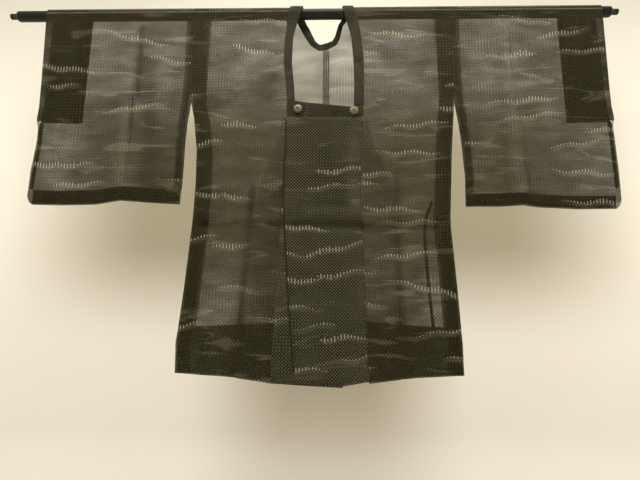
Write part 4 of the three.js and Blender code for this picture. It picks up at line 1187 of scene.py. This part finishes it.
def wallSteps():
    steps = [
        ("spot", "TexCoord", {}, {}),
        ("mottle", "TexNoise", {"Scale": studio["mottle"], "Detail": 4},
         {"Vector": "spot.Object"}),
        ("at", "SeparateXYZ", {}, {0: "spot.Object"}),
        ("side", "Math", {"operation": "ABSOLUTE"}, {0: "at.X"}),
    ]
    for name, source in (("wideSide", "side"), ("wideTop", "at.Z"), ("wideFoot", "at.Z"),
                         ("narrowSide", "side"), ("narrowFoot", "at.Z")):
        none, full = studio[name]
        steps.append((name, "MapRange", {"interpolation_type": "SMOOTHSTEP", "From Min": none,
                                         "From Max": full}, {"Value": source}))
    for name, first, second in (("wideUp", "wideSide", "wideTop"), ("wide", "wideUp", "wideFoot"),
                                ("narrowUp", "narrowSide", "wideTop"),
                                ("narrow", "narrowUp", "narrowFoot")):
        steps.append((name, "Math", {"operation": "MULTIPLY"}, {0: first, 1: second}))
    low, high = (fromHex(code) for code in studio["paint"])
    return steps + [
        ("paintedShade", "Math", {"operation": "MAXIMUM"}, {0: "wide", 1: "narrow"}),
        ("pale", "Mix", {"data_type": "RGBA", 6: low, 7: high}, {0: "mottle.Fac"}),
        ("colour", "Mix", {"data_type": "RGBA", 7: fromHex(studio["paintedShade"])},
         {0: "paintedShade", 6: "pale.Result"}),
        ("shader", "BsdfPrincipled", {"Roughness": 0.9}, {"Base Color": "colour.Result"}),
    ]


def addStudio():
    wall, floor, curve = studio["wallAt"], studio["floorAt"], studio["curve"]
    bend = [(wall - curve + curve * math.sin(a), floor + curve - curve * math.cos(a))
            for a in np.linspace(0, math.pi / 2, 12)]
    line = np.array([(studio["near"], floor), (0, floor), *bend, (wall, studio["high"])])
    x = np.linspace(-studio["wide"], studio["wide"], 5)[None, :]
    points = np.stack([x + 0 * line[:, :1], line[:, :1] + 0 * x, line[:, 1:] + 0 * x], axis=-1)
    # rolled emulsion paint, matt and a little mottled, with a painted shadow behind the coat
    wallPaintAndShadow = makeMaterial("wallPaintRolledWithShadow", wallSteps())
    addMesh("backdrop", points, points[..., :2], wallPaintAndShadow)


addStudio()

# Soft lamps, with places and sizes in metres and power in watts, and the light of the room.
lights = {
    "ceiling": {"at": (0, -0.9, 1.9), "aim": (0, 0.6, -0.4), "size": 2.2, "power": 62},
    "wallWash": {"at": (0, 1.3, 1.9), "aim": (0, 2.42, 0.9), "size": 1.8, "power": 8},
    "washRight": {"at": (-3.3, 0.6, 0.6), "aim": (-2.1, 2.42, 0), "size": 2, "power": 34},
    "washLeft": {"at": (3.3, 0.6, 0.6), "aim": (2.1, 2.42, 0), "size": 2, "power": 38},
}
room = {"lampColour": "#fff9ee", "colour": "#f8f1e0", "strength": 0.52}


def addLights():
    for name, lamp in lights.items():
        data = bpy.data.lights.new(name, "AREA")
        data.size = lamp["size"]
        data.energy = lamp["power"]
        data.color = fromHex(room["lampColour"])[:3]
        light = bpy.data.objects.new(name, data)
        light.location = lamp["at"]
        aim = Vector(lamp["aim"]) - Vector(lamp["at"])
        light.rotation_euler = aim.to_track_quat("-Z", "Y").to_euler()
        scene.collection.objects.link(light)
    world = bpy.data.worlds.new("softRoom")
    world.use_nodes = True
    background = world.node_tree.nodes["Background"]
    background.inputs["Color"].default_value = fromHex(room["colour"])
    background.inputs["Strength"].default_value = room["strength"]
    scene.world = world


addLights()
print("studio lit")
